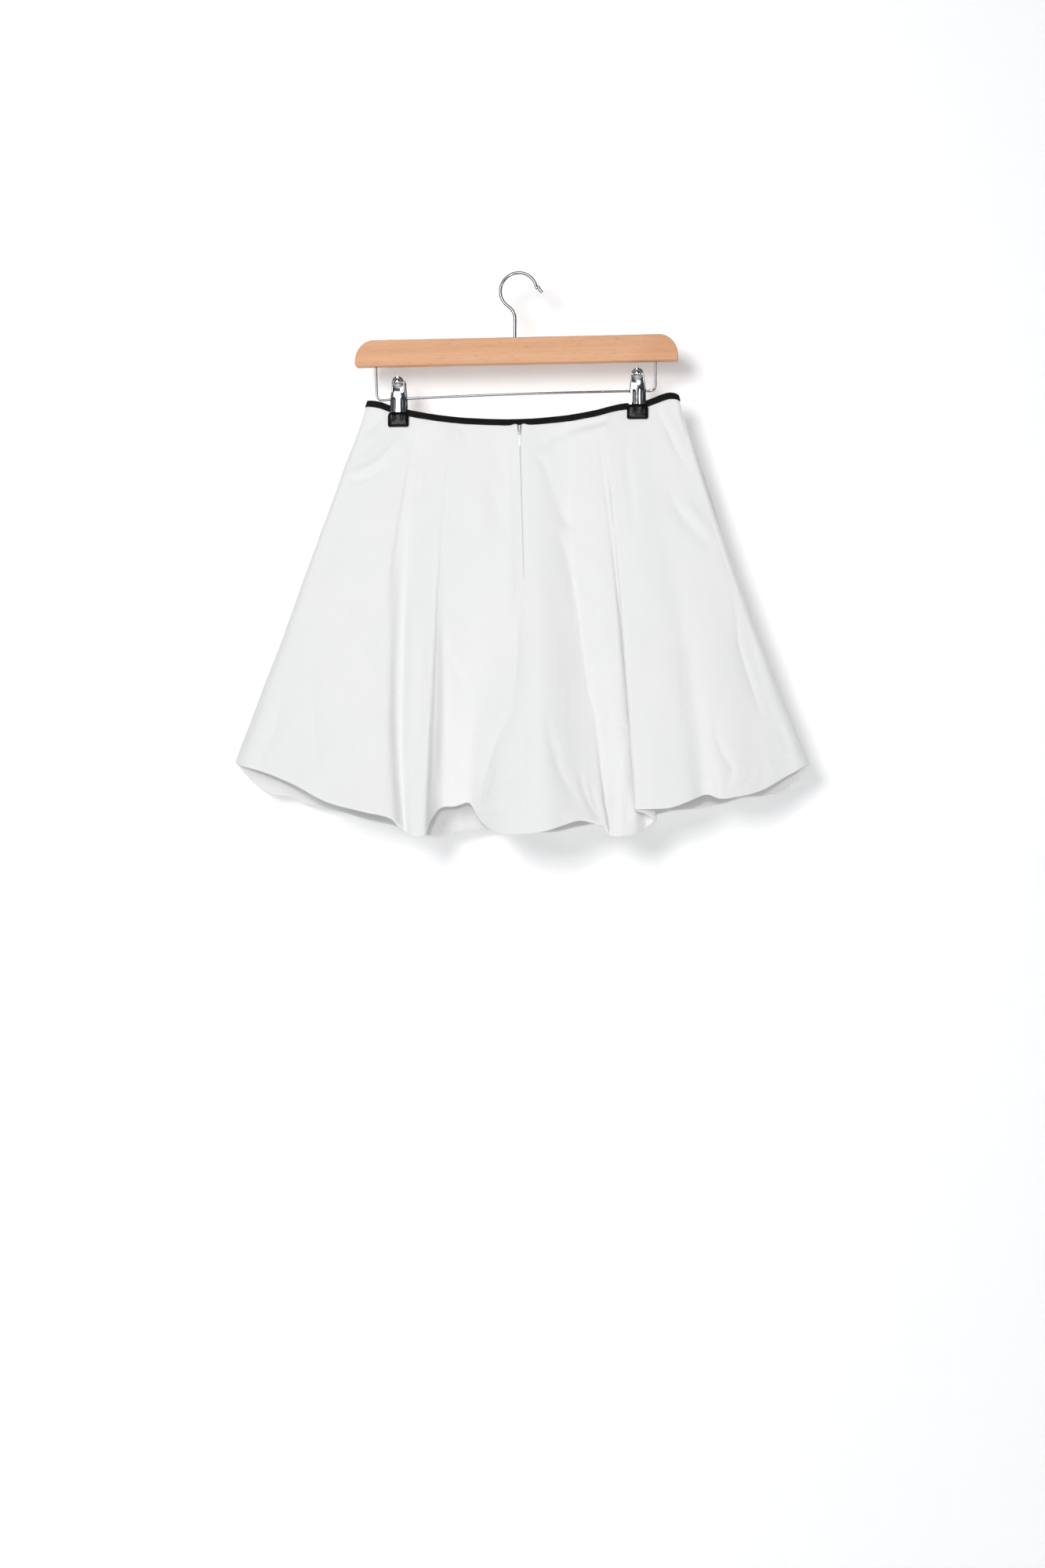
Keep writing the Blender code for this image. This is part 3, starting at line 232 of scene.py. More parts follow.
BACK_CREASES = [
    # round the left clip
    Crease(((-148, -157), (-160, -167), (-172, -178)), -1.7, 3.5, 0.6, 0, 8),
    Crease(((-193, -217), (-179, -218), (-164, -213), (-149, -203), (-138, -189), (-129, -176)),
           2.2, 5.0, 0.3, 0, 8),
    Crease(((-190, -225), (-176, -227), (-158, -221), (-142, -210)), -1.3, 4.0, 0.3, 0, 8),
    Crease(((-160, -184), (-168, -198)), -1.2, 4.0, 0.4, 0, 6),
    # the fold that falls from the left clip
    Crease(((-112, -178), (-107, -199), (-104, -215), (-108, -239), (-119, -267)), -2.5, 5.0, 0.8, 3, 13),
    Crease(((-118, -262), (-121, -305), (-124, -340), (-126, -392), (-126, -540)), -2.3, 5.5, 0.5, 4, 9),
    Crease(((-122, -270), (-124, -330), (-125, -400), (-125, -550)), -2.0, 9.0, 0.1, 3, 9),
    Crease(((-141, -290), (-140, -340), (-139, -400), (-138, -540)), 1.7, 6.5, 0.0, 3, 8),
    Crease(((-101, -380), (-102, -460), (-104, -560)), -2.4, 7.0, 0.0, 7, 10),
    Crease(((-87, -380), (-86, -470), (-88, -570)), 2.6, 6.0, 0.0, 9, 14),
    Crease(((-84, -225), (-90, -300), (-93, -400), (-96, -550)), 0.7, 10.0, 0.0, 7, 12),
    Crease(((-71, -190), (-78, -236), (-84, -320)), -1.2, 5.0, 0.7, 9, 14),
    Crease(((-76, -270), (-73, -360), (-72, -440), (-74, -540)), 2.0, 12.0, 0.0, 10, 14),
    Crease(((-82, -168), (-62, -169), (-54, -181), (-52, -198)), -1.0, 4.0, 0.4, 9, 16),
    Crease(((-32, -220), (-19, -260), (-11, -280), (-1, -292)), -1.3, 7.0, 0.2, 12, 18),
    Crease(((-44, -240), (-34, -275), (-30, -320)), 1.0, 9.0, 0.0, 12, 17),
    Crease(((-15, -222), (-4, -229), (8, -231)), -0.7, 3.0, 0.4, 15, 19),
    # left of the seam, below the zip
    Crease(((-72, -424), (-63, -445), (-55, -458)), -1.4, 4.5, 0.5, 10, 15),
    Crease(((-62, -421), (-50, -408), (-37, -398)), -0.9, 6.0, 0.2, 11, 16),
    Crease(((8, -360), (4, -394), (3, -438), (0, -484), (-10, -503)), -2.2, 6.0, 0.7, 13, 19),
    Crease(((-2, -488), (-12, -506), (-24, -530), (-33, -562), (-37, -590)), -2.8, 7.0, 0.7, 12, 18),
    Crease(((-19, -543), (-29, -573), (-30, -588)), -1.0, 2.2, 0.8, 13, 18),
    Crease(((-66, -520), (-60, -560), (-58, -590)), -0.7, 6.0, 0.2, 10, 15),
    Crease(((-19, -597), (-8, -592), (3, -587)), -0.7, 3.0, 0.4, 14, 19),
    Crease(((-12, -570), (-2, -561), (6, -552)), -0.6, 5.0, 0.3, 14, 19),
    # right of the seam, below the zip
    Crease(((24, -345), (21, -420), (20, -500), (20, -560)), 0.9, 12.0, 0.0, 16, 20),
    Crease(((38, -485), (43, -521), (51, -549), (65, -574), (76, -592)), -1.7, 5.0, 0.6, 19, 24),
    Crease(((44, -500), (47, -521), (54, -552)), -0.7, 1.8, 0.8, 19, 22),
    Crease(((75, -550), (78, -570), (85, -588), (101, -612)), -2.0, 3.2, 0.8, 21, 26),
    Crease(((86, -562), (90, -582), (98, -602)), -1.4, 2.6, 0.8, 21, 26),
    Crease(((105, -577), (98, -591)), -1.0, 2.6, 0.6, 22, 27),
    # from the right clip to the seam, and the fold that falls from it
    Crease(((124, -158), (107, -163), (92, -167), (78, -171), (62, -174)), -2.2, 3.2, 0.9, 19, 32),
    Crease(((70, -172), (48, -179), (33, -187), (19, -199)), -1.6, 5.0, 0.5, 18, 28),
    Crease(((118, -167), (95, -173), (70, -180), (48, -190)), 1.3, 6.0, 0.0, 19, 32),
    Crease(((18, -198), (28, -207), (38, -220)), -1.2, 4.5, 0.3, 18, 24),
    Crease(((34, -212), (43, -243), (52, -265), (61, -284)), -2.0, 8.0, 0.2, 18, 25),
    Crease(((54, -268), (60, -280), (66, -282)), -0.9, 4.0, 0.2, 18, 25),
    Crease(((46, -284), (55, -305), (61, -326), (66, -350), (72, -380), (76, -425)), -2.4, 6.0, 0.6, 19, 25),
    Crease(((74, -395), (78, -434), (84, -470), (92, -494), (100, -525), (104, -560), (106, -600)),
           -2.3, 5.0, 1.0, 20, 26),
    Crease(((84, -300), (92, -380), (100, -450), (108, -520)), 1.3, 9.0, 0.0, 23, 28),
    Crease(((118, -180), (108, -199), (103, -215), (107, -234)), 0.6, 6.0, 0.1, 22, 29),
    Crease(((122, -514), (117, -530), (112, -549), (106, -568)), -1.6, 2.6, 0.9, 23, 30),
    Crease(((116, -499), (126, -508)), -1.3, 2.6, 0.8, 23, 30),
    Crease(((123, -570), (125, -584), (127, -612)), -1.4, 4.0, 0.4, 24, 30),
    Crease(((130, -568), (133, -590), (135, -612)), 0.9, 4.0, 0.2, 24, 30),
    # right panel
    Crease(((129, -176), (125, -201), (125, -219), (130, -251), (133, -292)), -1.6, 6.0, 0.2, 28, 38),
    Crease(((157, -147), (161, -162), (170, -178), (178, -198), (190, -216)), -1.6, 3.8, 0.7, 34, 41),
    Crease(((166, -150), (172, -166), (180, -180), (186, -200)), 0.5, 4.0, 0.1, 34, 42),
    Crease(((175, -143), (184, -157), (189, -174), (192, -200)), -1.3, 2.6, 0.6, 36, 42),
    Crease(((168, -238), (180, -264), (192, -281), (213, -306)), -1.6, 7.0, 0.3, 33, 41),
    Crease(((190, -255), (203, -276), (219, -297)), 1.2, 6.0, 0.0, 34, 42),
    Crease(((240, -352), (245, -386), (248, -415), (256, -443), (265, -470), (275, -500)),
           -2.3, 5.5, 0.9, 37, 42),
    Crease(((256, -385), (262, -420), (272, -455)), -1.0, 7.0, 0.1, 38, 42),
    Crease(((291, -498), (296, -515), (301, -534)), -1.4, 6.0, 0.3, 37, 42),
    Crease(((222, -496), (223, -514), (229, -532), (238, -545), (241, -551), (236, -563), (232, -577)),
           -1.9, 4.0, 0.6, 33, 41),
    Crease(((214, -548), (216, -562), (222, -575)), -1.0, 4.0, 0.4, 33, 40),
    Crease(((240, -576), (252, -566), (264, -557), (279, -544)), -1.3, 3.0, 0.7, 35, 42),
    Crease(((256, -573), (266, -560), (271, -546)), 1.0, 3.2, 0.4, 35, 42),
    Crease(((281, -540), (296, -538), (308, -536)), -0.9, 3.0, 0.5, 36, 42),
    Crease(((150, -350), (151, -412), (155, -470)), -0.4, 8.0, 0.0, 31, 37),
    Crease(((186, -470), (190, -520), (202, -572)), -0.4, 9.0, 0.1, 34, 39),
    # left panel
    Crease(((-228, -410), (-226, -470), (-222, -520), (-206, -575)), -1.4, 8.0, 0.2, 1, 6),
    Crease(((-262, -470), (-270, -510), (-286, -542)), -1.0, 7.0, 0.2, 0, 4),
    Crease(((-168, -440), (-172, -500), (-168, -560)), 1.0, 9.0, 0.0, 2, 6),
]
FRONT_CREASES = [
    # the front's edge, pushed out past the right side seam
    Crease(((197, -186), (206, -222), (216, -262), (226, -296)), 2.6, 7.0, 0.0, 42.3, 43.6),
    Crease(((-130, -176), (-146, -190), (-160, -216)), -1.6, 5.0, 0.5, 56, 67),
    Crease(((-112, -172), (-100, -215), (-96, -268)), -2.0, 6.0, 0.6, 55, 67),
    Crease(((-126, -178), (-134, -250), (-150, -330)), 1.4, 9.0, 0.0, 57, 67),
    Crease(((-88, -170), (-52, -177), (-28, -176)), -1.3, 4.0, 0.5, 50, 62),
    Crease(((-58, -300), (-62, -400), (-66, -500)), -1.6, 7.0, 0.4, 52, 62),
    Crease(((-8, -190), (2, -260), (14, -330)), -1.3, 8.0, 0.1, 48, 56),
    Crease(((36, -460), (28, -520), (22, -590)), -1.7, 6.0, 0.5, 47, 55),
    Crease(((52, -176), (84, -172), (118, -164)), -1.6, 4.0, 0.6, 44, 54),
    Crease(((108, -186), (94, -240), (90, -320)), -2.2, 6.0, 0.6, 44, 54),
    Crease(((84, -360), (88, -450), (96, -560)), -1.7, 6.0, 0.5, 44, 53),
    Crease(((146, -176), (168, -222), (196, -290)), -1.4, 6.0, 0.3, 43, 50),
    Crease(((190, -340), (214, -430), (236, -520)), -1.7, 7.0, 0.4, 43, 49),
    Crease(((158, -420), (172, -490), (182, -560)), 1.4, 9.0, 0.1, 43, 51),
    Crease(((-190, -380), (-214, -460), (-232, -540)), -1.7, 7.0, 0.4, 58, 67),
    Crease(((-128, -540), (-116, -566), (-112, -596)), -1.4, 3.5, 0.6, 54, 64),
    Crease(((232, -548), (214, -560), (206, -578)), -1.3, 3.5, 0.6, 43, 50),
    Crease(((-258, -520), (-240, -542), (-236, -566)), -1.3, 3.5, 0.6, 60, 67),
]


# Lines and directions

def smooth_step(value):
    value = np.clip(value, 0.0, 1.0)
    return value * value * (3.0 - 2.0 * value)


def normalised(vectors):
    return vectors / np.linalg.norm(vectors, axis=-1, keepdims=True)


def mean_direction(points, axis):
    """Direction at each point of closed lines, between those of the steps before and after it."""
    step = normalised(np.roll(points, -1, axis=axis) - points)
    return step + np.roll(step, 1, axis=axis)


def line_directions(points):
    """Direction at each point of an open line."""
    return normalised(np.gradient(points, axis=0))


def lengths_along(points):
    """Distance of each point from the first, along the line through them."""
    return np.concatenate(([0.0], np.cumsum(np.linalg.norm(np.diff(points, axis=0), axis=1))))


def between(at, along, points):
    """The point at a place along a line of points."""
    return np.array([np.interp(at, along, points[:, k]) for k in range(3)])


def curve_shares(s):
    """What the ends of a smooth span weigh at a share of its length, and then its slopes there."""
    return 2 * s ** 3 - 3 * s ** 2 + 1, 3 * s ** 2 - 2 * s ** 3, s ** 3 - 2 * s ** 2 + s, s ** 3 - s ** 2


def rounded(value, power):
    """A sine or cosine bent so that the outline it draws has fuller corners."""
    return np.sign(value) * abs(value) ** power


def turns_round(count):
    return 2 * pi * np.arange(count) / count


def circle(centre, first, second, radius, sides):
    """Points round a centre, in the plane of two directions."""
    return [centre + radius * (cos(t) * first + sin(t) * second) for t in turns_round(sides)]


# Meshes

def piece(name, verts, faces, material, slot, body="garment", stands_for=(), smooth=50.0, place=None):
    """One named piece from points in millimetres; place gives each point's spot on the flat cloth."""
    mesh = bpy.data.meshes.new(name)
    points = (np.asarray(verts, float) - (HANG_X, 0.0, 0.0)) * MM
    mesh.from_pydata(points.tolist(), [], [tuple(int(i) for i in face) for face in faces])
    mesh.update()
    mesh.shade_smooth()
    mesh.set_sharp_from_angle(angle=radians(smooth))
    if place is not None:
        flat = mesh.uv_layers.new(name="flat_cloth")
        corner = np.zeros(len(mesh.loops), dtype=np.int32)
        mesh.loops.foreach_get("vertex_index", corner)
        spots = (np.asarray(place)[corner] * MM).astype(np.float32)
        flat.data.foreach_set("uv", spots.ravel())
    mesh.materials.append(material)
    made = bpy.data.objects.new(name, mesh)
    bpy.context.scene.collection.objects.link(made)
    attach(made, body)
    if stands_for:
        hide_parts(*stands_for)
    return made


def wall_faces(rows, cols):
    """Faces of a closed wall between two grids of the same size, the outer one first."""
    index = np.arange(rows * cols).reshape(rows, cols)
    shift = rows * cols
    outer = np.stack((index[:-1, :-1], index[1:, :-1], index[1:, 1:], index[:-1, 1:]), -1).reshape(-1, 4)
    inner = outer[:, ::-1] + shift
    rim = np.concatenate((index[0], index[1:, -1], index[-1, -2::-1], index[-2:0:-1, 0]))
    after = np.roll(rim, -1)
    edge = np.stack((rim, after, after + shift, rim + shift), -1)
    return np.concatenate((outer, inner, edge))


def wall(name, outer, inner, material, slot, place=None, **more):
    rows, cols = outer.shape[:2]
    verts = np.concatenate((outer.reshape(-1, 3), inner.reshape(-1, 3)))
    spots = None if place is None else np.concatenate((place.reshape(-1, 2),) * 2)
    return piece(name, verts, wall_faces(rows, cols), material, slot, place=spots, **more)


def loft(sections, ring_shaped=False):
    """Points and faces of a solid through its sections, whose last one may meet the first."""
    sections = np.asarray(sections, float)
    count, around = sections.shape[:2]
    index = np.arange(count * around).reshape(count, around)
    turned = np.roll(index, -1, axis=1)
    faces = np.stack((index, turned, np.roll(turned, -1, axis=0), np.roll(index, -1, axis=0)), -1)
    if ring_shaped:
        return sections.reshape(-1, 3), faces.reshape(-1, 4).tolist()
    ends = [index[0, ::-1].tolist(), index[-1].tolist()]
    return sections.reshape(-1, 3), faces[:-1].reshape(-1, 4).tolist() + ends


def joined(parts):
    """Several meshes as one list of points and faces."""
    verts, faces = [], []
    for points, polygons in parts:
        shift = len(verts)
        verts.extend([tuple(p) for p in points])
        faces.extend([tuple(i + shift for i in polygon) for polygon in polygons])
    return verts, faces


def wire(name, points, diameter, material, slot, sides=24, **more):
    """Round wire along a line of points, with rounded ends."""
    points = np.asarray(points, float)
    along = line_directions(points)
    side = np.array((0.0, 1.0, 0.0))
    radius = diameter / 2

    def ring(centre, tangent, share=1.0):
        return circle(centre, normalised(np.cross(tangent, side)), side, radius * share, sides)

    sections = [ring(points[0] - along[0] * (0.6 * radius * share), along[0], share) for share in (0.35, 0.8)]
    sections += [ring(centre, tangent) for centre, tangent in zip(points, along)]
    sections += [ring(points[-1] + along[-1] * (0.6 * radius * (1 - share)), along[-1], share)
                 for share in (0.8, 0.35)]
    return piece(name, *loft(sections), material, slot, **more)


def smooth_path(points, step):
    """Evenly spaced points on a smooth curve through a few of its points."""
    points = np.asarray(points, float)
    reach = lengths_along(points)
    rate = np.gradient(points, reach, axis=0)
    line = []
    for i in range(len(points) - 1):
        span = reach[i + 1] - reach[i]
        count = max(1, ceil(span / step))
        for k in range(count):
            start, end, leaving, arriving = curve_shares(k / count)
            line.append(points[i] * start + rate[i] * span * leaving
                        + points[i + 1] * end + rate[i + 1] * span * arriving)
    line.append(points[-1])
    return np.array(line)


# Cloth form

WAIST_X = np.array([p.x for p in WAIST_LINE])
WAIST_Z = np.array([p.z for p in WAIST_LINE])


def line_slopes(knots, values):
    """Slopes of a smooth open curve at its points."""
    step = np.diff(knots)
    rate = np.diff(values) / step
    inner = (rate[:-1] * step[1:] + rate[1:] * step[:-1]) / (step[:-1] + step[1:])
    return np.concatenate(([rate[0]], inner, [rate[-1]]))


WAIST_SLOPE = line_slopes(WAIST_X, WAIST_Z)


def waist_z(x):
    """Height of the waist's upper edge above a place along the bar."""
    i = int(min(len(WAIST_X) - 2, max(0, np.searchsorted(WAIST_X, x) - 1)))
    step = WAIST_X[i + 1] - WAIST_X[i]
    start, end, leaving, arriving = curve_shares((x - WAIST_X[i]) / step)
    return (WAIST_Z[i] * start + WAIST_SLOPE[i] * step * leaving
            + WAIST_Z[i + 1] * end + WAIST_SLOPE[i + 1] * step * arriving)


ROWS = [(LEFT_SIDE, -1.0)] + [(fold, -1.0) for fold in BACK_LEFT] + [(BACK_SEAM, -1.0)]
ROWS += [(fold, -1.0) for fold in BACK_RIGHT] + [(RIGHT_SIDE, 1.0)] + [(fold, 1.0) for fold in FRONT]
SEAM_ROW = 1 + len(BACK_LEFT)
RIGHT_ROW = SEAM_ROW + 1 + len(BACK_RIGHT)
ROW_COUNT = len(ROWS)

TOP_LINE = np.array([(f.x_top, side * f.out_top, waist_z(f.x_top) - EDGE_TOP) for f, side in ROWS])
MID_LINE = np.array([(f.x_mid, side * f.out_mid, 0.0) for f, side in ROWS])
HEM_LINE = np.array([(f.x_hem, side * f.out_hem, f.z_hem + HEM_RADIUS) for f, side in ROWS])


def level_points(level):
    """Where each fold's line is at one level, 0 at the waist and 1 at the hem."""
    top_share = (1 - level) * (1 - 2 * level)
    mid_share = 4 * level * (1 - level)
    hem_share = level * (2 * level - 1)
    points = top_share * TOP_LINE + mid_share * MID_LINE + hem_share * HEM_LINE
    points[:, 2] = TOP_LINE[:, 2] + level * (HEM_LINE[:, 2] - TOP_LINE[:, 2])
    return points


def ring_knots():
    gap_hem = np.linalg.norm((np.roll(HEM_LINE, -1, axis=0) - HEM_LINE)[:, :2], axis=1)
    gap_waist = np.linalg.norm((np.roll(TOP_LINE, -1, axis=0) - TOP_LINE)[:, :2], axis=1)
    return np.concatenate(([0.0], np.cumsum(0.5 * (gap_hem + gap_waist))))


def ring_weights():
    """What each fold's line weighs at each sample round the ring, and each sample's row."""
    knots = ring_knots()
    step = np.diff(knots)
    unit = np.eye(ROW_COUNT)
    rate = (np.roll(unit, -1, axis=0) - unit) / step[:, None]
    before, step_before = np.roll(rate, 1, axis=0), np.roll(step, 1)
    slope = (before * step[:, None] + rate * step_before[:, None]) / (step + step_before)[:, None]
    weights, rows = [], []
    for i in range(ROW_COUNT):
        j = (i + 1) % ROW_COUNT
        sample = BACK_STEP if i < RIGHT_ROW else FRONT_STEP
        count = max(2, ceil(np.linalg.norm(HEM_LINE[j] - HEM_LINE[i]) / sample))
        for k in range(count):
            start, end, leaving, arriving = curve_shares(k / count)
            weights.append(unit[i] * start + unit[j] * end
                           + step[i] * (slope[i] * leaving + slope[j] * arriving))
            rows.append(i + k / count)
    return np.array(weights), np.array(rows)


WEIGHTS, SAMPLE_ROW = ring_weights()


def ring_at(level):
    """Points of the cloth's outer face all round, at one level."""
    return WEIGHTS @ level_points(level)


def plan_outward(ring):
    """Outward direction in plan at each point of a ring."""
    along = mean_direction(ring * np.array((1.0, 1.0, 0.0)), 0)
    return normalised(np.column_stack((along[:, 1], -along[:, 0], np.zeros(len(ring)))))


def ring_places(ring):
    """Gaps from each point of a ring to the next, and each point's place along the ring."""
    gaps = np.linalg.norm(np.roll(ring, -1, axis=0) - ring, axis=1)
    return gaps, np.concatenate(([0.0], np.cumsum(gaps)))


def apart_on_ring(ring):
    """How far each two points of a ring lie apart, the shorter way round, and its gaps."""
    gaps, place = ring_places(ring)
    apart = np.abs(place[:-1, None] - place[None, :-1])
    return np.minimum(apart, place[-1] - apart), gaps


def calm_outward(ring):
    """Outward directions averaged along the ring, so that a turned-in edge never crosses itself."""
    apart, gaps = apart_on_ring(ring)
    weight = np.exp(-(apart / CALM_REACH) ** 2) * (0.5 * (gaps + np.roll(gaps, 1)))[None, :]
    return normalised(weight @ plan_outward(ring))


def turn_depth(ring, inward, most):
    """How far the hem may turn in at each point, less where a fold leaves it little room."""
    apart, gaps = apart_on_ring(ring)
    toward = ring[None, :, :2] - ring[:, None, :2]
    reach = np.linalg.norm(toward, axis=2)
    facing = (toward * inward[:, None, :2]).sum(axis=2)
    inside = (apart > TURN_CLEAR) & (facing > 0.35 * reach)
    room = np.where(inside, reach, np.inf).min(axis=1)
    return np.minimum(most, TURN_SHARE * room)


def along_ring(ring, first):
    """Distance along a ring from one of its samples, positive onwards."""
    place = ring_places(ring)[1][:-1]
    return place - place[first]


def crease_height(points, rows, creases):
    """How far the creases move each point of a grid, from its place seen from the front or back."""
    moved = np.zeros(points.shape[:-1])
    for crease in creases:
        here = (rows >= crease.first) & (rows <= crease.last)
        if not here.any():
            continue
        seen = points[:, here][:, :, (0, 2)]
        path = np.array(crease.path, float)
        starts = lengths_along(path)
        lengths = np.diff(starts)
        near = np.full(seen.shape[:-1], np.inf)
        way = np.zeros(seen.shape[:-1])
        for i, length in enumerate(lengths):
            direction = (path[i + 1] - path[i]) / length
            to_point = seen - path[i]
            t = np.clip(to_point @ direction, 0.0, length)
            apart = np.linalg.norm(to_point - t[..., None] * direction, axis=-1)
            closer = apart < near
            near = np.where(closer, apart, near)
            way = np.where(closer, (starts[i] + t) / starts[-1], way)
        taper = np.sin(pi * np.clip(way, 0.0, 1.0)) ** CREASE_TAPER
        shape = np.exp(-(near / crease.width) ** (2.0 - crease.sharp))
        moved[:, here] += crease.height * taper * shape
    return moved


def crumple(points, scale, height, seed):
    """Soft uneven relief, the same every time."""
    flat = points.reshape(-1, 3)
    shift = Vector((seed * 17.3, seed * 5.1, seed * 9.7))
    values = [noise.noise(Vector((p[0] / scale, p[1] / scale, p[2] / (1.6 * scale))) + shift) for p in flat]
    return height * np.array(values).reshape(points.shape[:-1])


def seam_relief(ring, seam_samples):
    """A seam sits in a fine dip, with its pressed allowance just raised beside it near the zip."""
    moved = np.zeros(len(ring))
    for sample, allowance in seam_samples:
        apart = np.abs(along_ring(ring, sample))
        zipped = smooth_step((ring[sample, 2] - ZIP_END_Z + ZIP_FADE / 2) / ZIP_FADE)
        moved -= (SEAM_DIP + ZIP_DIP * zipped) * np.exp(-(apart / SEAM_DIP_WIDTH) ** 2)
        within = smooth_step((allowance + SEAM_RISE_FADE / 2 - apart) / SEAM_RISE_FADE)
        moved += (SEAM_RISE + ZIP_RISE * zipped) * within
    return moved


def cloth_profile():
    """The cloth's right side as rings from the waist down, round the hem and up inside."""
    seams = [(sample_of_row(row), allowance) for row, allowance in
             ((0, SIDE_ALLOWANCE), (SEAM_ROW, BACK_ALLOWANCE), (RIGHT_ROW, SIDE_ALLOWANCE))]
    levels = np.linspace(0.0, 1.0, LEVEL_STEPS + 1)
    rings = np.array([ring_at(level) for level in levels])
    outward = np.array([plan_outward(ring) for ring in rings])
    back = SAMPLE_ROW < RIGHT_ROW
    relief = crease_height(rings, np.where(back, SAMPLE_ROW, -1.0), BACK_CREASES)
    relief += crease_height(rings, np.where(back, -1.0, SAMPLE_ROW), FRONT_CREASES)
    relief += sum(crumple(rings, *sizes) for sizes in CRUMPLES)
    fade = smooth_step(levels / WAIST_RELIEF_FADE)[:, None]
    relief *= WAIST_RELIEF + (1 - WAIST_RELIEF) * fade
    relief += np.array([seam_relief(ring, seams) for ring in rings])
    outer = rings + outward * relief[:, :, None]
    hem = outer[-1]
    inward = -calm_outward(rings[-1])
    depth = turn_depth(rings[-1], inward, 2 * HEM_RADIUS)
    profile = list(outer)
    for turn in np.radians(HEM_TURNS):
        ring = hem + inward * (depth * (0.5 - 0.5 * cos(turn)) ** HEM_IN_POWER)[:, None]
        ring[:, 2] -= np.minimum(HEM_RADIUS, depth) * abs(sin(turn)) ** HEM_DOWN_POWER
        profile.append(ring)
    fall = rings[0][:, 2].mean() - rings[-1][:, 2].mean()
    for k in range(1, RETURN_STEPS + 1):
        share = k / RETURN_STEPS
        level = 1.0 - share * RETURN_HEIGHT / fall
        ring = ring_at(level)
        inward = -calm_outward(ring)
        depth = turn_depth(ring, inward, 2 * HEM_RADIUS + RETURN_DRIFT * share)
        place = np.interp(level, levels, np.arange(len(levels)))
        low = int(place)
        carried = relief[low] + (place - low) * (relief[min(low + 1, LEVEL_STEPS)] - relief[low])
        ripple = crumple(ring * np.array((1.0, 1.0, 0.6)), *RETURN_RIPPLE) * smooth_step(share * 3.0)
        profile.append(ring + inward * depth[:, None] + plan_outward(ring) * (carried + ripple)[:, None])
    return np.array(profile)


def face_outward(grid):
    """Directions square to a grid of rings, away from the cloth's wrong side."""
    around = mean_direction(grid, 1)
    down = np.empty_like(grid)
    down[1:-1] = grid[2:] - grid[:-2]
    down[0] = grid[1] - grid[0]
    down[-1] = grid[-1] - grid[-2]
    return normalised(np.cross(down, around))


def sample_of_row(row):
    return int(np.argmax(SAMPLE_ROW == float(row)))


def span(first_row, last_row):
    """Sample numbers from one fold's line to another, going round by the front if need be."""
    first, last = sample_of_row(first_row), sample_of_row(last_row)
    if last <= first:
        last += len(SAMPLE_ROW)
    return [k % len(SAMPLE_ROW) for k in range(first, last + 1)]


def seam_clearance(z, at_zip):
    """Half the gap at a seam: sewn shut, or over the zip, where the cloth parts round the slider."""
    if not at_zip:
        return SEWN_GAP
    zipped = smooth_step((z - ZIP_END_Z) / ZIP_PART_FADE)
    opened = smooth_step((z - NOTCH_BOTTOM_Z) / (NOTCH_TOP_Z - NOTCH_BOTTOM_Z))
    return SEWN_GAP + ZIP_PART * zipped + NOTCH_HALF * opened


PROFILE = cloth_profile()
OUTWARD = face_outward(PROFILE)


def panel_grid(columns, zip_end=None):
    """The cloth's right side and its outward directions for one panel, trimmed at its seams."""
    grid = PROFILE[:, columns].copy()
    out = OUTWARD[:, columns].copy()
    for end, step in ((0, 1), (-1, -1)):
        gap = np.array([seam_clearance(p[2], zip_end == end) for p in grid[:, end]])
        gap[LEVEL_STEPS + 1:] = SEWN_GAP
        for back_from_edge in range(EDGE_LINES):
            here = end + step * back_from_edge
            away = normalised(grid[:, end + step * (EDGE_LINES + 1)] - grid[:, here])
            grid[:, here] += away * (gap * (1 - back_from_edge / EDGE_LINES) ** 2)[:, None]
    return grid, out


def flat_place(grid):
    """Each point's spot on the flat cloth, in millimetres."""
    across = np.linalg.norm(np.diff(grid, axis=1), axis=2)
    across = np.concatenate((np.zeros((len(grid), 1)), np.cumsum(across, axis=1)), axis=1)
    across -= across[:, -1:] / 2
    down = np.linalg.norm(np.diff(grid, axis=0), axis=2)
    down = np.concatenate((np.zeros((1, grid.shape[1])), np.cumsum(down, axis=0)), axis=0)
    return np.stack((across, down), -1)


def panel(name, node, columns, zip_end=None):
    grid, out = panel_grid(columns, zip_end)
    return wall(name, grid, grid - out * CLOTH, white_cloth, "white_cloth",
                place=flat_place(grid), stands_for=(node,), smooth=80.0)


# Shader node groups: surface effects that several materials share

def node_group(name, inputs, outputs):
    group = bpy.data.node_groups.new(name, "ShaderNodeTree")
    for label, kind, value in inputs:
        socket = group.interface.new_socket(name=label, in_out="INPUT", socket_type=kind)
        if value is not None:
            socket.default_value = value
    for label, kind in outputs:
        group.interface.new_socket(name=label, in_out="OUTPUT", socket_type=kind)
    start = group.nodes.new("NodeGroupInput")
    end = group.nodes.new("NodeGroupOutput")
    return group, start, end


def feed(tree, socket, value):
    """Link a socket to the one that feeds it, or set its own value."""
    if isinstance(value, bpy.types.NodeSocket):
        tree.links.new(value, socket)
    else:
        socket.default_value = value


def shader_node(tree, kind, settings=(), **values):
    """A new node; its inputs are given by name, or by number as n0, n1 and so on."""
    made = tree.nodes.new(kind)
    for attribute, value in settings:
        setattr(made, attribute, value)
    for label, value in values.items():
        numbered = label[0] == "n" and label[1:].isdigit()
        feed(tree, made.inputs[int(label[1:]) if numbered else label], value)
    return made


def maths(tree, operation, a, b=0.0, c=0.0):
    return shader_node(tree, "ShaderNodeMath", (("operation", operation),), n0=a, n1=b, n2=c).outputs[0]


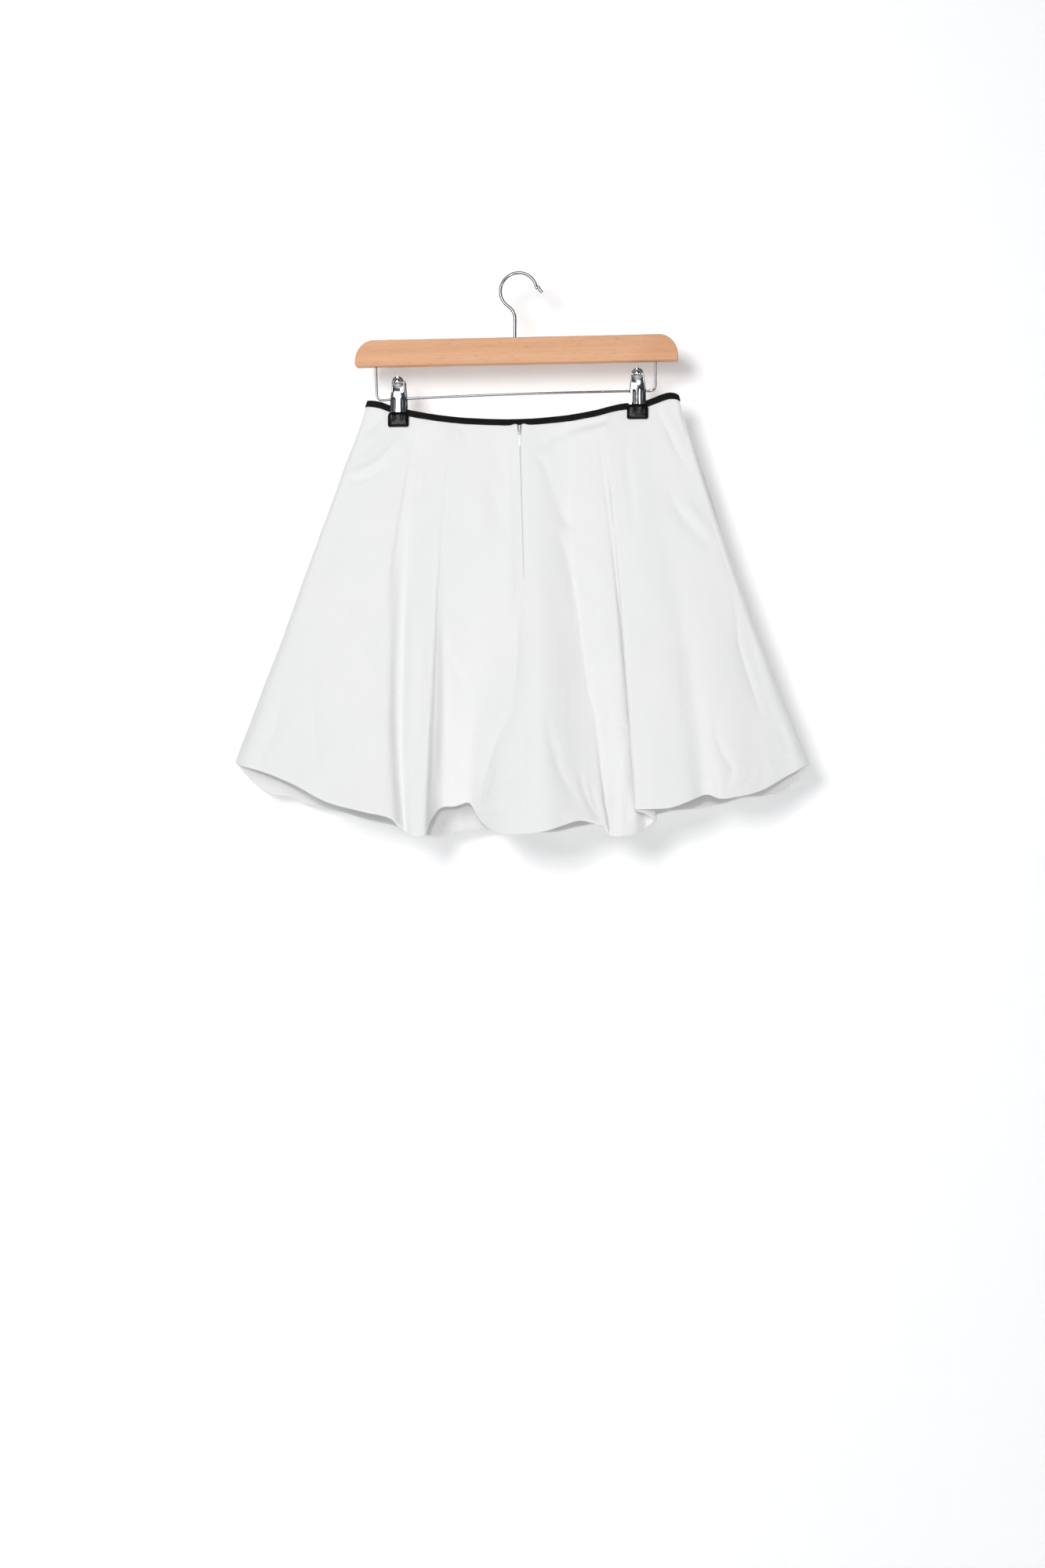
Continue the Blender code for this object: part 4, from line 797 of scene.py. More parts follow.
def spread_out(tree, value, low, high, first, last):
    """Maps a value's range from low to high onto the range from first to last."""
    made = shader_node(tree, "ShaderNodeMapRange", n0=value, n1=low, n2=high, n3=first, n4=last)
    return made.outputs[0]


def cloudy(tree, place, scale, detail, **more):
    """Noise at a place, of about so many patches a metre."""
    made = shader_node(tree, "ShaderNodeTexNoise", Vector=place, Scale=scale, Detail=detail, **more)
    return made.outputs["Fac"]


def plain_weave():
    """Threads of a plain weave: crossing rows of round threads, with a few thicker ones."""
    group, start, end = node_group(
        "plain_weave",
        (("Place", "NodeSocketVector", None), ("Threads per metre", "NodeSocketFloat", 1800.0),
         ("Slub", "NodeSocketFloat", 0.4)),
        (("Height", "NodeSocketFloat"), ("Shade", "NodeSocketFloat")))
    split = shader_node(group, "ShaderNodeSeparateXYZ", n0=start.outputs["Place"])
    turns = maths(group, "MULTIPLY", start.outputs["Threads per metre"], pi)
    across = maths(group, "SINE", maths(group, "MULTIPLY", split.outputs["X"], turns))
    down = maths(group, "SINE", maths(group, "MULTIPLY", split.outputs["Y"], turns))
    over = maths(group, "MULTIPLY", across, down)
    uneven = cloudy(group, start.outputs["Place"], 260.0, 3.0)
    slub = maths(group, "MULTIPLY", uneven, start.outputs["Slub"])
    height = maths(group, "ADD", maths(group, "MULTIPLY_ADD", over, 0.5, 0.5), slub)
    group.links.new(height, end.inputs["Height"])
    group.links.new(uneven, end.inputs["Shade"])
    return group


def handling_marks():
    """Faint smudges and fine scratches that vary a surface's gloss."""
    group, start, end = node_group(
        "handling_marks",
        (("Place", "NodeSocketVector", None), ("Size", "NodeSocketFloat", 60.0),
         ("Low", "NodeSocketFloat", 0.1), ("High", "NodeSocketFloat", 0.2)),
        (("Roughness", "NodeSocketFloat"), ("Mask", "NodeSocketFloat")))
    smudge = cloudy(group, start.outputs["Place"], start.outputs["Size"], 4.0, Roughness=0.6)
    fine = cloudy(group, start.outputs["Place"], 1400.0, 2.0)
    mask = maths(group, "MULTIPLY_ADD", fine, 0.3, maths(group, "MULTIPLY", smudge, 0.7))
    gloss = spread_out(group, mask, 0.3, 0.7, start.outputs["Low"], start.outputs["High"])
    group.links.new(gloss, end.inputs["Roughness"])
    group.links.new(mask, end.inputs["Mask"])
    return group


PLAIN_WEAVE = plain_weave()
HANDLING_MARKS = handling_marks()


# Materials

def new_material(name, **sockets):
    material = bpy.data.materials.new(name)
    material.use_nodes = True
    tree = material.node_tree
    shader = tree.nodes["Principled BSDF"]
    for label, value in sockets.items():
        shader.inputs[label.replace("_", " ")].default_value = value
    return material, tree, shader


def mixed_colour(tree, share, first, second):
    made = shader_node(tree, "ShaderNodeMix", (("data_type", "RGBA"),))
    for socket, value in ((made.inputs[0], share), (made.inputs[6], first), (made.inputs[7], second)):
        feed(tree, socket, value)
    return made.outputs[2]


def raised(tree, shader, height, distance):
    bump = shader_node(tree, "ShaderNodeBump", Height=height, Distance=distance, Strength=1.0)
    tree.links.new(bump.outputs["Normal"], shader.inputs["Normal"])


def use_group(tree, group, **values):
    made = tree.nodes.new("ShaderNodeGroup")
    made.node_tree = group
    for label, value in values.items():
        feed(tree, made.inputs[label.replace("_", " ")], value)
    return made


def cloth_material(name, light, dark, roughness, sheen, threads, slub, weave_depth, crumple_depth):
    """Woven cloth with a soft sheen: threads and fine crumples in its relief."""
    material, tree, shader = new_material(name, Roughness=roughness, Sheen_Weight=sheen, Sheen_Roughness=0.5)
    flat = shader_node(tree, "ShaderNodeTexCoord").outputs["UV"]
    weave = use_group(tree, PLAIN_WEAVE, Place=flat, Threads_per_metre=threads, Slub=slub)
    soft = cloudy(tree, flat, 38.0, 3.0, Roughness=0.55)
    worn = spread_out(tree, cloudy(tree, flat, 7.0, 1.0), 0.35, 0.65, 0.0, 1.0)
    cooler = (light[0] * 0.985, light[1] * 0.992, light[2] * 1.005, 1.0)
    washed = mixed_colour(tree, worn, light, cooler)
    tint = mixed_colour(tree, weave.outputs["Shade"], dark, washed)
    tree.links.new(tint, shader.inputs["Base Color"])
    crumples = maths(tree, "MULTIPLY", soft, crumple_depth / weave_depth)
    height = maths(tree, "ADD", crumples, weave.outputs["Height"])
    raised(tree, shader, height, weave_depth)
    return material


def wood_material():
    """Lacquered beech: fine straight grain, short dark flecks, and darker towards the lower right end."""
    material, tree, shader = new_material("lacquered_beech", Specular_IOR_Level=0.25)
    place = shader_node(tree, "ShaderNodeTexCoord").outputs["Object"]
    drawn = shader_node(tree, "ShaderNodeMapping", Vector=place, Scale=(2.2, 30.0, 60.0))
    warp = cloudy(tree, drawn.outputs[0], 1.0, 3.0)
    grain_place = shader_node(tree, "ShaderNodeMapping", Vector=place, Scale=(9.0, 260.0, 420.0),
                              Rotation=(0.0, radians(1.5), 0.0))
    grain = cloudy(tree, grain_place.outputs[0], 1.0, 6.0, Roughness=0.65, Distortion=0.4)
    fleck_place = shader_node(tree, "ShaderNodeMapping", Vector=place, Scale=(130.0, 700.0, 1500.0))
    fleck = cloudy(tree, fleck_place.outputs[0], 1.0, 1.0)
    broad = mixed_colour(tree, warp, (0.62, 0.32, 0.17, 1.0), (0.83, 0.49, 0.30, 1.0))
    streak = spread_out(tree, grain, 0.35, 0.7, 0.0, 0.55)
    fine = mixed_colour(tree, streak, broad, (0.60, 0.30, 0.155, 1.0))
    dots = spread_out(tree, fleck, 0.66, 0.74, 0.0, 0.45)
    flecked = mixed_colour(tree, dots, fine, (0.36, 0.15, 0.065, 1.0))
    # Towards the lower right end of the bar the colour turns darker, past a slanted, slightly wavering line.
    split = shader_node(tree, "ShaderNodeSeparateXYZ", n0=place)
    slanted = maths(tree, "MULTIPLY_ADD", split.outputs["Z"], -0.9, split.outputs["X"])
    swayed = maths(tree, "MULTIPLY_ADD", warp, 0.02, slanted)
    darker_end = spread_out(tree, swayed, 0.214, 0.240, 0.0, 0.35)
    shaded = mixed_colour(tree, darker_end, flecked, (0.55, 0.26, 0.125, 1.0))
    tree.links.new(shaded, shader.inputs["Base Color"])
    marks = use_group(tree, HANDLING_MARKS, Place=place, Size=45.0, Low=0.5, High=0.66)
    tree.links.new(marks.outputs["Roughness"], shader.inputs["Roughness"])
    raised(tree, shader, maths(tree, "ADD", grain, fleck), 0.00006)
    return material


def hard_material(name, colour, metallic, low, high, size, coat=0.0, shine=0.5, relief=0.00001):
    """Chrome, dipped coating or moulded zip: one colour, with handling marks in its gloss."""
    material, tree, shader = new_material(name, Metallic=metallic, Coat_Weight=coat, Coat_Roughness=0.05,
                                          Specular_IOR_Level=shine)
    place = shader_node(tree, "ShaderNodeTexCoord").outputs["Object"]
    marks = use_group(tree, HANDLING_MARKS, Place=place, Size=size, Low=low, High=high)
    darker = tuple(0.9 * c for c in colour[:3]) + (1.0,)
    tint = mixed_colour(tree, marks.outputs["Mask"], darker, colour)
    tree.links.new(tint, shader.inputs["Base Color"])
    tree.links.new(marks.outputs["Roughness"], shader.inputs["Roughness"])
    raised(tree, shader, marks.outputs["Mask"], relief)
    return material


def binding_material():
    """Black ribbed tape: fine ribs across its length."""
    material, tree, shader = new_material("black_ribbed_tape", Roughness=0.85, Specular_IOR_Level=0.2)
    flat = shader_node(tree, "ShaderNodeTexCoord").outputs["UV"]
    split = shader_node(tree, "ShaderNodeSeparateXYZ", n0=flat)
    rib = maths(tree, "SINE", maths(tree, "MULTIPLY", split.outputs["X"], 2 * pi * 1400.0))
    weave = use_group(tree, PLAIN_WEAVE, Place=flat, Threads_per_metre=2600.0, Slub=0.5)
    tint = mixed_colour(tree, weave.outputs["Shade"], (0.0030, 0.0030, 0.0034, 1.0),
                        (0.0075, 0.0075, 0.0080, 1.0))
    tree.links.new(tint, shader.inputs["Base Color"])
    height = maths(tree, "MULTIPLY_ADD", weave.outputs["Height"], 0.4, rib)
    raised(tree, shader, height, 0.00008)
    return material


white_cloth = cloth_material("white_cloth", (0.803, 0.80, 0.788, 1.0), (0.77, 0.77, 0.765, 1.0),
                             0.82, 0.15, 1800.0, 0.5, 0.00003, 0.0009)
black_binding = binding_material()
white_tape = cloth_material("zip_tape_weave", (0.80, 0.81, 0.815, 1.0), (0.74, 0.75, 0.755, 1.0),
                            0.85, 0.05, 2200.0, 0.4, 0.00006, 0.0001)
zip_enamel = hard_material("zip_enamel", (0.72, 0.755, 0.785, 1.0), 0.0, 0.30, 0.45, 300.0, coat=0.1)
beech = wood_material()
chrome = hard_material("polished_chrome", (0.60, 0.61, 0.63, 1.0), 1.0, 0.06, 0.16, 120.0)
wire_chrome = hard_material("drawn_chrome_wire", (0.26, 0.265, 0.275, 1.0), 1.0, 0.06, 0.14, 90.0)
dipped = hard_material("dipped_black", (0.004, 0.004, 0.005, 1.0), 0.0, 0.22, 0.35, 90.0,
                       coat=0.03, shine=0.12, relief=0.00003)
dark_thread = hard_material("black_thread", (0.02, 0.02, 0.021, 1.0), 0.0, 0.6, 0.8, 900.0)


# Skirt

BACK_LEFT_COLUMNS = span(0, SEAM_ROW)
BACK_RIGHT_COLUMNS = span(SEAM_ROW, RIGHT_ROW)
FRONT_COLUMNS = span(RIGHT_ROW, 0)


def uneven_along(along, size, row, layer):
    """Soft noise along a line, the same every time."""
    return np.array([noise.noise(Vector((a / size, row, layer))) for a in along])


def binding(name, node, columns, seam_end=None):
    """Binding folded over the waist edge: a rounded strip that follows the panel's top."""
    grid, out = panel_grid(columns)
    top, low = grid[0], grid[2]
    along = lengths_along(top)
    far_off = np.full(len(along), 99.0)
    from_seam = {None: far_off, 0: along, -1: along[-1] - along}[seam_end]
    dip = np.exp(-((from_seam - BINDING_DIP_AT) / BINDING_DIP_WIDTH) ** 2)
    height = BINDING_HEIGHT - EDGE_TOP - BINDING_DIP * dip
    height = height + BINDING_WANDER[0] * uneven_along(along, BINDING_WANDER[1], 3.0, 7.0)
    foot = top + (low - top) * (height / np.maximum(1e-6, top[:, 2] - low[:, 2]))[:, None]
    flat_out = normalised(out[0] * np.array((1.0, 1.0, 0.0)))
    near = SEAM_GAP
    face = near + BINDING * (1.0 + BINDING_PUFF[0] * uneven_along(along, BINDING_PUFF[1], 1.0, 2.0))

    def ring(offset, share, lift=0.0):
        base = top + (foot - top) * share
        return base + flat_out * np.reshape(offset, (-1, 1)) + UP * lift

    section = [
        ring(near, 1.0), ring(near, 0.0, SEAM_GAP), ring(-CLOTH - near, 0.0, SEAM_GAP),
        ring(-CLOTH - near, 1.0), ring(-CLOTH - near - 0.5 * BINDING, 1.05),
        ring(-CLOTH - face, 0.93), ring(-CLOTH - face, 0.5), ring(-CLOTH - face, 0.05, SEAM_GAP),
    ]
    for turn in np.radians((150.0, 120.0, 90.0, 60.0, 30.0)):
        offset = (CLOTH / 2 + face) * cos(turn) - CLOTH / 2
        section.append(ring(offset, 0.0, SEAM_GAP + BINDING * sin(turn)))
    section += [ring(face, 0.05, SEAM_GAP), ring(face + 0.06, 0.5), ring(face, 0.93),
                ring(near + 0.5 * BINDING, 1.05)]
    sections = np.swapaxes(section, 0, 1)
    place = np.array([(a, b) for a in along for b in lengths_along(sections[0])])
    made = piece(name, *loft(sections), black_binding, "black_binding",
                 stands_for=(node,), smooth=60.0, place=place)
    return made, foot, flat_out, along


def stitches(name, foot, flat_out, along):
    """A row of stitches through the binding, just above its lower edge."""
    parts = []
    place = STITCH_PITCH
    while place < along[-1] - STITCH_PITCH:
        rings = []
        for share, rise, size in STITCH_RINGS:
            at = place + share * STITCH_LENGTH
            out = between(at, along, flat_out)
            lifted = between(at, along, foot) + UP * STITCH_LIFT
            centre = lifted + out * (SEAM_GAP + BINDING + STITCH_OUT + rise)
            rings.append(circle(centre, UP, out, STITCH_RADIUS * size, 6))
        parts.append(loft(rings))
        place += STITCH_PITCH
    return piece(name, *joined(parts), dark_thread, "black_binding")


def zip_line():
    """The seam's points and directions behind the zip: place, outward and along the ring."""
    seam = sample_of_row(SEAM_ROW)
    line = []
    for level in np.linspace(0.0, 1.0, 181):
        ring = ring_at(level)
        if TAPE_TOP_Z > ring[seam, 2] > ZIP_END_Z:
            out = plan_outward(ring)[seam]
            line.append((ring[seam], out, np.array((-out[1], out[0], 0.0))))
    return line


def zip_tape():
    """The closed zip's tape behind the seam, with its coil of teeth."""
    line = zip_line()
    behind = CLOTH + SEAM_GAP + TAPE_BACK
    shares = np.linspace(-1.0, 1.0, 9)
    front, back, place = [], [], []
    for k, (point, out, along) in enumerate(line):
        base = point - out * behind
        front.append([base + along * share * TAPE_HALF - out * 0.25 * abs(share) for share in shares])
        back.append([p - out * TAPE_THICK for p in front[-1]])
        place.append([(share * TAPE_HALF, k * TAPE_ROW) for share in shares])
    tape = wall("zip_tape_cloth", np.array(front), np.array(back), white_tape, "white_zip",
                place=np.array(place), stands_for=("zip_tape",), smooth=80.0)
    parts = []
    places = np.array([point for point, out, along in line])
    fall = lengths_along(places)
    at, side = 1.0, 1.0
    while at < fall[-1] - 1.0:
        k = int(np.searchsorted(fall, at)) - 1
        point, out, along = line[k]
        centre = point + (places[min(k + 1, len(line) - 1)] - point) * (at - fall[k])
        centre = centre - out * (behind - TOOTH_OUT)
        parts.append(loft([circle(centre + along * (TOOTH_HALF * share + TOOTH_SHIFT * side),
                                  out, UP, TOOTH_RADIUS * size, 8) for share, size in TOOTH_RINGS]))
        at += TOOTH_PITCH
        side = -side
    teeth = piece("zip_teeth", *joined(parts), zip_enamel, "white_zip")
    return tape, teeth


def zip_slider():
    """Rounded slider body behind the seam, with a bridge that stands out through the notch."""
    sections = []
    for drop in np.sin(np.radians(np.linspace(-90.0, 90.0, 15))):
        size = max(0.3, (1.0 - abs(drop) ** 5) ** 0.4)
        waist = 1.0 - 0.12 * smooth_step(-drop)
        sections.append([(SLIDER_X + rounded(cos(t), 0.55) * SLIDER_WIDTH / 2 * waist * size,
                          SLIDER_Y + rounded(sin(t), 0.55) * SLIDER_THICK / 2 * size,
                          PULL_AXIS_Z + BODY_LIFT + drop * SLIDER_HEIGHT / 2) for t in turns_round(24)])
    radius = (LUG_RADIUS + LUG_HOLE) / 2
    path = list(BRIDGE_PATH)
    path += [(-PULL_OUT - radius * sin(a), radius * cos(a)) for a in np.radians(np.arange(0, 181, 15))]
    path += [(-PULL_OUT + 0.8, -radius), (SLIDER_Y + 0.2, -radius)]
    path = np.array(path)
    widths = BRIDGE_WIDTHS + (LUG_WIDTH,) * len(path)
    bridge = []
    for (y, z), (ty, tz), width in zip(path, line_directions(path), widths):
        bridge.append([(SLIDER_X + width / 2 * rounded(cos(t), 0.6),
                        y + BRIDGE_HALF_THICK * sin(t) * tz,
                        PULL_AXIS_Z + z - BRIDGE_HALF_THICK * sin(t) * ty) for t in turns_round(16)])
    return piece("zip_slider_body", *joined([loft(sections), loft(bridge)]), zip_enamel, "white_zip",
                 stands_for=("zip_slider",), smooth=60.0)


def zip_pull():
    """Teardrop pull tab with rounded edges and a slot for the slider's bridge."""
    turns = turns_round(48)
    down = 0.5 * (1 - np.cos(turns))
    half = PULL_WIDTH / 2 * rounded(np.sin(turns), 0.55) * (0.80 + 0.20 * down)
    outline = np.column_stack((SLIDER_X + half, PULL_AXIS_Z + PULL_BAR / 2 - down * PULL_LENGTH))
    slot_half = (LUG_WIDTH + SLOT_PLAY) / 2
    slot_top, slot_bottom = -PULL_BAR / 2, -LUG_RADIUS - SLOT_BELOW
    slot_mid, slot_reach = (slot_top + slot_bottom) / 2, (slot_top - slot_bottom) / 2
    slot = np.column_stack((SLIDER_X + slot_half * rounded(np.sin(turns), 0.4),
                            PULL_AXIS_Z + slot_mid + slot_reach * rounded(np.cos(turns), 0.4)))
    sections = []
    for share, thick in PULL_EDGE + tuple((share, -thick) for share, thick in reversed(PULL_EDGE)):
        loop = slot + (outline - slot) * share
        sections.append([(x, -PULL_OUT - thick * PULL_THICK / 2, z) for x, z in loop])
    return piece("zip_pull_tab", *loft(sections, ring_shaped=True), zip_enamel, "white_zip",
                 body="pull", stands_for=("zip_pull",))


def binding_ends():
    """The bindings' ends, tucked down into the notch on both sides of the slider."""
    grid, out = panel_grid(BACK_RIGHT_COLUMNS, 0)
    other, other_out = panel_grid(BACK_LEFT_COLUMNS, -1)
    parts = []
    for edge, way, beside in ((grid[:, 0], out[:, 0], 1.0), (other[:, -1], other_out[:, -1], -1.0)):
        edge, way = edge[:LEVEL_STEPS], way[:LEVEL_STEPS]
        side = np.array((beside, 0.0, 0.0))
        sections = []
        for z in np.linspace(TUCK_TOP_Z, TUCK_BOTTOM_Z, 13):
            point, outward = between(-z, -edge[:, 2], edge), between(-z, -edge[:, 2], way)
            taper = 1 - (TUCK_TOP_Z - z) / (TUCK_TOP_Z - TUCK_BOTTOM_Z)
            reach = 0.45 * taper + 0.1
            depth = 0.5 * taper + 0.45
            sections.append([point + side * (reach * 0.5 * (cos(a) - 0.5))
                             + outward * (sin(a) * depth - 0.5 * CLOTH + 0.25 * taper)
                             for a in turns_round(10)])
        parts.append(loft(sections))
    return piece("binding_tucked_ends", *joined(parts), black_binding, "black_binding")


def skirt():
    panels = (
        ("back_left", BACK_LEFT_COLUMNS, -1, (0.43, 0.535), 0.147),
        ("back_right", BACK_RIGHT_COLUMNS, 0, (0.41, 0.533), 0.147),
        ("front", FRONT_COLUMNS, None, (0.71, 0.53), 0.28),
    )
    for label, columns, zip_end, flat, area in panels:
        cloth = panel(label + "_cloth", label + "_panel", columns, zip_end)
        trim = "binding_" + label
        edge, foot, flat_out, along = binding(trim + "_tape", trim, columns, zip_end)
        laid_on = [edge, stitches(trim + "_stitches", foot, flat_out, along)]
        if label == "back_left":
            laid_on += [*zip_tape(), binding_ends()]
    zip_slider()
    zip_pull()


# Hanger

def arc(centre, radius, start, end, steps):
    """Points of an arc in the plane of the bar, in degrees from +X."""
    turns = np.radians(np.linspace(start, end, steps + 1))
    return [(centre[0] + radius * cos(t), 0.0, centre[1] + radius * sin(t)) for t in turns]


def hook():
    points = [(STEM_X, 0.0, z) for z in (BAR_TOP - WIRE_SUNK, BAR_TOP, STEM_MID, STEM_TOP)]
    points += arc((STEM_X - NECK_RADIUS, STEM_TOP), NECK_RADIUS, 12.0, 43.0, 6)
    points += arc((HANG_X, HOOK_CENTRE_Z), HOOK_RADIUS, 222.0, 8.0, 48)
    points += [(x, 0.0, z) for x, z in HOOK_FLICK]
    return wire("wire_hook", smooth_path(points, 1.5), WIRE_HOOK, wire_chrome, "chrome_steel",
                stands_for=("hanger_hook",))


def rail():
    leg_top = BAR_BOTTOM + WIRE_SUNK
    left = arc((-RAIL_X + RAIL_BEND, RAIL_LEFT_Z + RAIL_BEND), RAIL_BEND, 180.0, 270.0, 10)
    right = arc((RAIL_X - RAIL_BEND, RAIL_RIGHT_Z + RAIL_BEND), RAIL_BEND, 270.0, 360.0, 10)
    points = [(-RAIL_X - 1.2, 0.0, leg_top), (-RAIL_X - 1.0, 0.0, BAR_BOTTOM)]
    across = np.linspace(-RAIL_X + 2 * RAIL_BEND, RAIL_X - 2 * RAIL_BEND, 25)
    points += left + [(x, 0.0, rail_z(x) + RAIL_BOW * (1 - (x / RAIL_X) ** 2)) for x in across] + right
    points += [(RAIL_X, 0.0, BAR_BOTTOM), (RAIL_X, 0.0, leg_top)]
    return wire("wire_rail", points, WIRE_RAIL, wire_chrome, "chrome_steel", stands_for=("clip_rail",))


def rail_z(x):
    share = (x + RAIL_X - RAIL_BEND) / (2 * (RAIL_X - RAIL_BEND))
    return RAIL_LEFT_Z + share * (RAIL_RIGHT_Z - RAIL_LEFT_Z)


def quarter(x, z, radius_x, radius_z, start, steps):
    """A quarter turn round a corner's centre, in the plane of the bar."""
    turns = np.radians(start + 90.0 * np.arange(steps + 1) / steps)
    return [(x + radius_x * cos(t), z + radius_z * sin(t)) for t in turns]


def bar():
    """Wooden bar with round shoulders and rounded edges."""
    shoulder = (BAR_SHOULDER_X, BAR_SHOULDER_Z)
    corners = (
        (BAR_RIGHT - BAR_FOOT, BAR_BOTTOM + BAR_FOOT, BAR_FOOT, BAR_FOOT, -90.0, 6),
        (BAR_RIGHT - BAR_SHOULDER_X, BAR_TOP - BAR_SHOULDER_Z, *shoulder, 0.0, 20),
        (BAR_LEFT + BAR_SHOULDER_X, BAR_TOP - BAR_SHOULDER_Z, *shoulder, 90.0, 20),
        (BAR_LEFT + BAR_FOOT, BAR_BOTTOM + BAR_FOOT, BAR_FOOT, BAR_FOOT, 180.0, 6),
    )
    outline = np.array([point for corner in corners for point in quarter(*corner)])
    along = mean_direction(outline, 0)
    normal = normalised(np.column_stack((along[:, 1], -along[:, 0])))
    half = BAR_THICK / 2
    edge = [(BAR_EDGE * (1 - cos(a)), -half + BAR_EDGE * (1 - sin(a)))
            for a in np.radians((90.0, 67.5, 45.0, 22.5, 0.0))]
    sections = []
    for inset, y in edge + [(i, -y) for i, y in reversed(edge)]:
        sections.append([(x, y, z) for x, z in outline - normal * inset])
    return piece("wooden_bar", *loft(sections), beech, "beech_wood", stands_for=("hanger_bar",), smooth=35.0)


CLIP_SHARES = np.sin(np.radians(np.linspace(-90.0, 90.0, 33)))      # of a clip's half width


def clip_half_width(z):
    """Half width of a jaw: round head, straight neck and a wider body with a slight flare."""
    head = CLIP_HEAD_WIDTH / 2
    if z > CLIP_ABOVE_RAIL - head:
        return head * max(0.004, 1 - ((head - (CLIP_ABOVE_RAIL - z)) / head) ** 2) ** 0.5
    body = smooth_step((CLIP_ABOVE_RAIL - head - z) / 16.0)
    flare = smooth_step((-z - CLIP_BELOW_RAIL + 5.0) / 5.0)
    return (CLIP_HEAD_WIDTH + (CLIP_WIDTH - CLIP_HEAD_WIDTH) * body + CLIP_FLARE * flare) / 2


def rib_profile(x, half):
    """Two round ribs, a little less than half way out."""
    return sum(np.exp(-((x - side * RIB_PLACE * half) / RIB_WIDTH) ** 2) for side in (-1.0, 1.0))


def clip_line(x, out, z):
    """A line of points across a clip at one height."""
    return np.column_stack((x, out, np.full(len(x), z)))


def clip_wall(name, outer, inner, side, material, slot, **more):
    """The wall between two grids of a clip, each turned round on the clip's front."""
    outer, inner = [np.array(grid) if side < 0.0 else np.array(grid)[:, ::-1] for grid in (outer, inner)]
    return wall(name, outer, inner, material, slot, **more)


def jaw(name, node, x_clip, side):
    """Sprung steel plate with rolled edges, a thumb dome at its head and two stiffening ribs."""
    z_rail = rail_z(x_clip)
    head = CLIP_HEAD_WIDTH / 2
    head_turns = np.radians(np.linspace(4.0, 90.0, 12))
    heights = [CLIP_ABOVE_RAIL - head * (1 - cos(t)) for t in head_turns]
    heights += list(np.linspace(CLIP_ABOVE_RAIL - head, -CLIP_BELOW_RAIL, 40))[1:]
    plate_in = JAW_INNER + (PAD_THICK - CLIP_PLATE) / 2
    dome_z = CLIP_ABOVE_RAIL - DOME_DROP
    outer, inner = [], []
    for z in heights:
        half = clip_half_width(z)
        x = CLIP_SHARES * half
        crown = JAW_CROWN * (1 - CLIP_SHARES ** 2)
        at_edge = smooth_step((np.abs(CLIP_SHARES) - 0.86) / 0.14)
        rolled = JAW_ROLL * at_edge * smooth_step((z + 4.0) / 10.0)
        from_dome = (x ** 2 + (z - dome_z) ** 2) / DOME_RADIUS ** 2
        dome = DOME_HEIGHT * np.sqrt(np.maximum(0.0, 1 - from_dome))
        rib = JAW_RIB * rib_profile(x, half) * smooth_step((2.0 - z) / 3.0)
        base = plate_in + JAW_LEAN * smooth_step((z - 4.0) / 20.0) - rolled
        face = base + CLIP_PLATE + crown + dome + rib
        outer.append(clip_line(x_clip + x, side * face, z_rail + z))
        inner.append(clip_line(x_clip + x, side * (base + 0.35 * crown + 0.8 * dome), z_rail + z))
    return clip_wall(name, outer, inner, side, chrome, "chrome_steel", stands_for=(node,), smooth=50.0)


def pad(name, node, x_clip, side):
    """Black dipped end of a jaw: a soft rounded block with the two ribs showing through."""
    z_top = rail_z(x_clip) - CLIP_BELOW_RAIL - SEAM_GAP
    drops = 0.5 - 0.5 * np.cos(np.radians(np.linspace(0.0, 180.0, 25)))
    outer, inner = [], []
    for drop in drops:
        half = PAD_WIDTH / 2 * (0.88 + 0.12 * smooth_step(drop * 4.0))
        corner = min(1.0, max(0.0, (drop - 0.84) / 0.16))
        half = half - PAD_CORNER * (1 - (1 - corner ** 2) ** 0.5)
        x = CLIP_SHARES * half
        full = (1 - np.abs(CLIP_SHARES) ** 7) * (1 - abs(2 * drop - 1) ** 9)
        rib = PAD_RIB * rib_profile(x, PAD_WIDTH / 2 * 0.8) * smooth_step((0.62 - drop) / 0.1)
        dip = PAD_DIP * uneven_along(x, 4.0, drop * 4.0, x_clip)
        thick = PAD_THICK * (0.35 + 0.65 * full) + (rib + dip) * full
        z = z_top - drop * PAD_HEIGHT
        outer.append(clip_line(x_clip + x, side * (JAW_INNER + thick), z))
        inner.append(clip_line(x_clip + x, np.full(len(x), side * JAW_INNER), z))
    return clip_wall(name, outer, inner, side, dipped, "black_dip", stands_for=(node,), smooth=60.0)


def spring(name, node, x_clip):
    """Spring coil wound round the rail between the jaws."""
    radius = JAW_INNER + (PAD_THICK - CLIP_PLATE) / 2 - SEAM_GAP - SPRING_WIRE / 2
    steps = 20 * SPRING_TURNS
    points = []
    for k in range(steps + 1):
        turn = 2 * pi * k / 20
        x = x_clip + (k / steps - 0.5) * (CLIP_SPRING_LENGTH - SPRING_WIRE)
        points.append((x, radius * cos(turn), rail_z(x_clip) + radius * sin(turn)))
    points = np.array(points)
    sections = []
    for centre, tangent in zip(points, line_directions(points)):
        out = normalised(centre - np.array((centre[0], 0.0, rail_z(x_clip))))
        sections.append(circle(centre, out, np.cross(tangent, out), SPRING_WIRE / 2, 10))
    return piece(name, *loft(sections), chrome, "chrome_steel", stands_for=(node,))


def hanger():
    bar()
    hook()
    rail()
    for label, x_clip in zip(("left", "right"), CLIP_X):
        for face, side in (("back", -1.0), ("front", 1.0)):
            jaw("%s_clip_%s_plate" % (label, face), "clip_%s_jaw_%s" % (label, face), x_clip, side)
            pad("%s_clip_%s_dip" % (label, face), "clip_%s_pad_%s" % (label, face), x_clip, side)
        spring("%s_clip_coil" % label, "clip_%s_spring" % label, x_clip)


# Studio

WALL_Y = 0.058
FLOOR_Z = -1.62


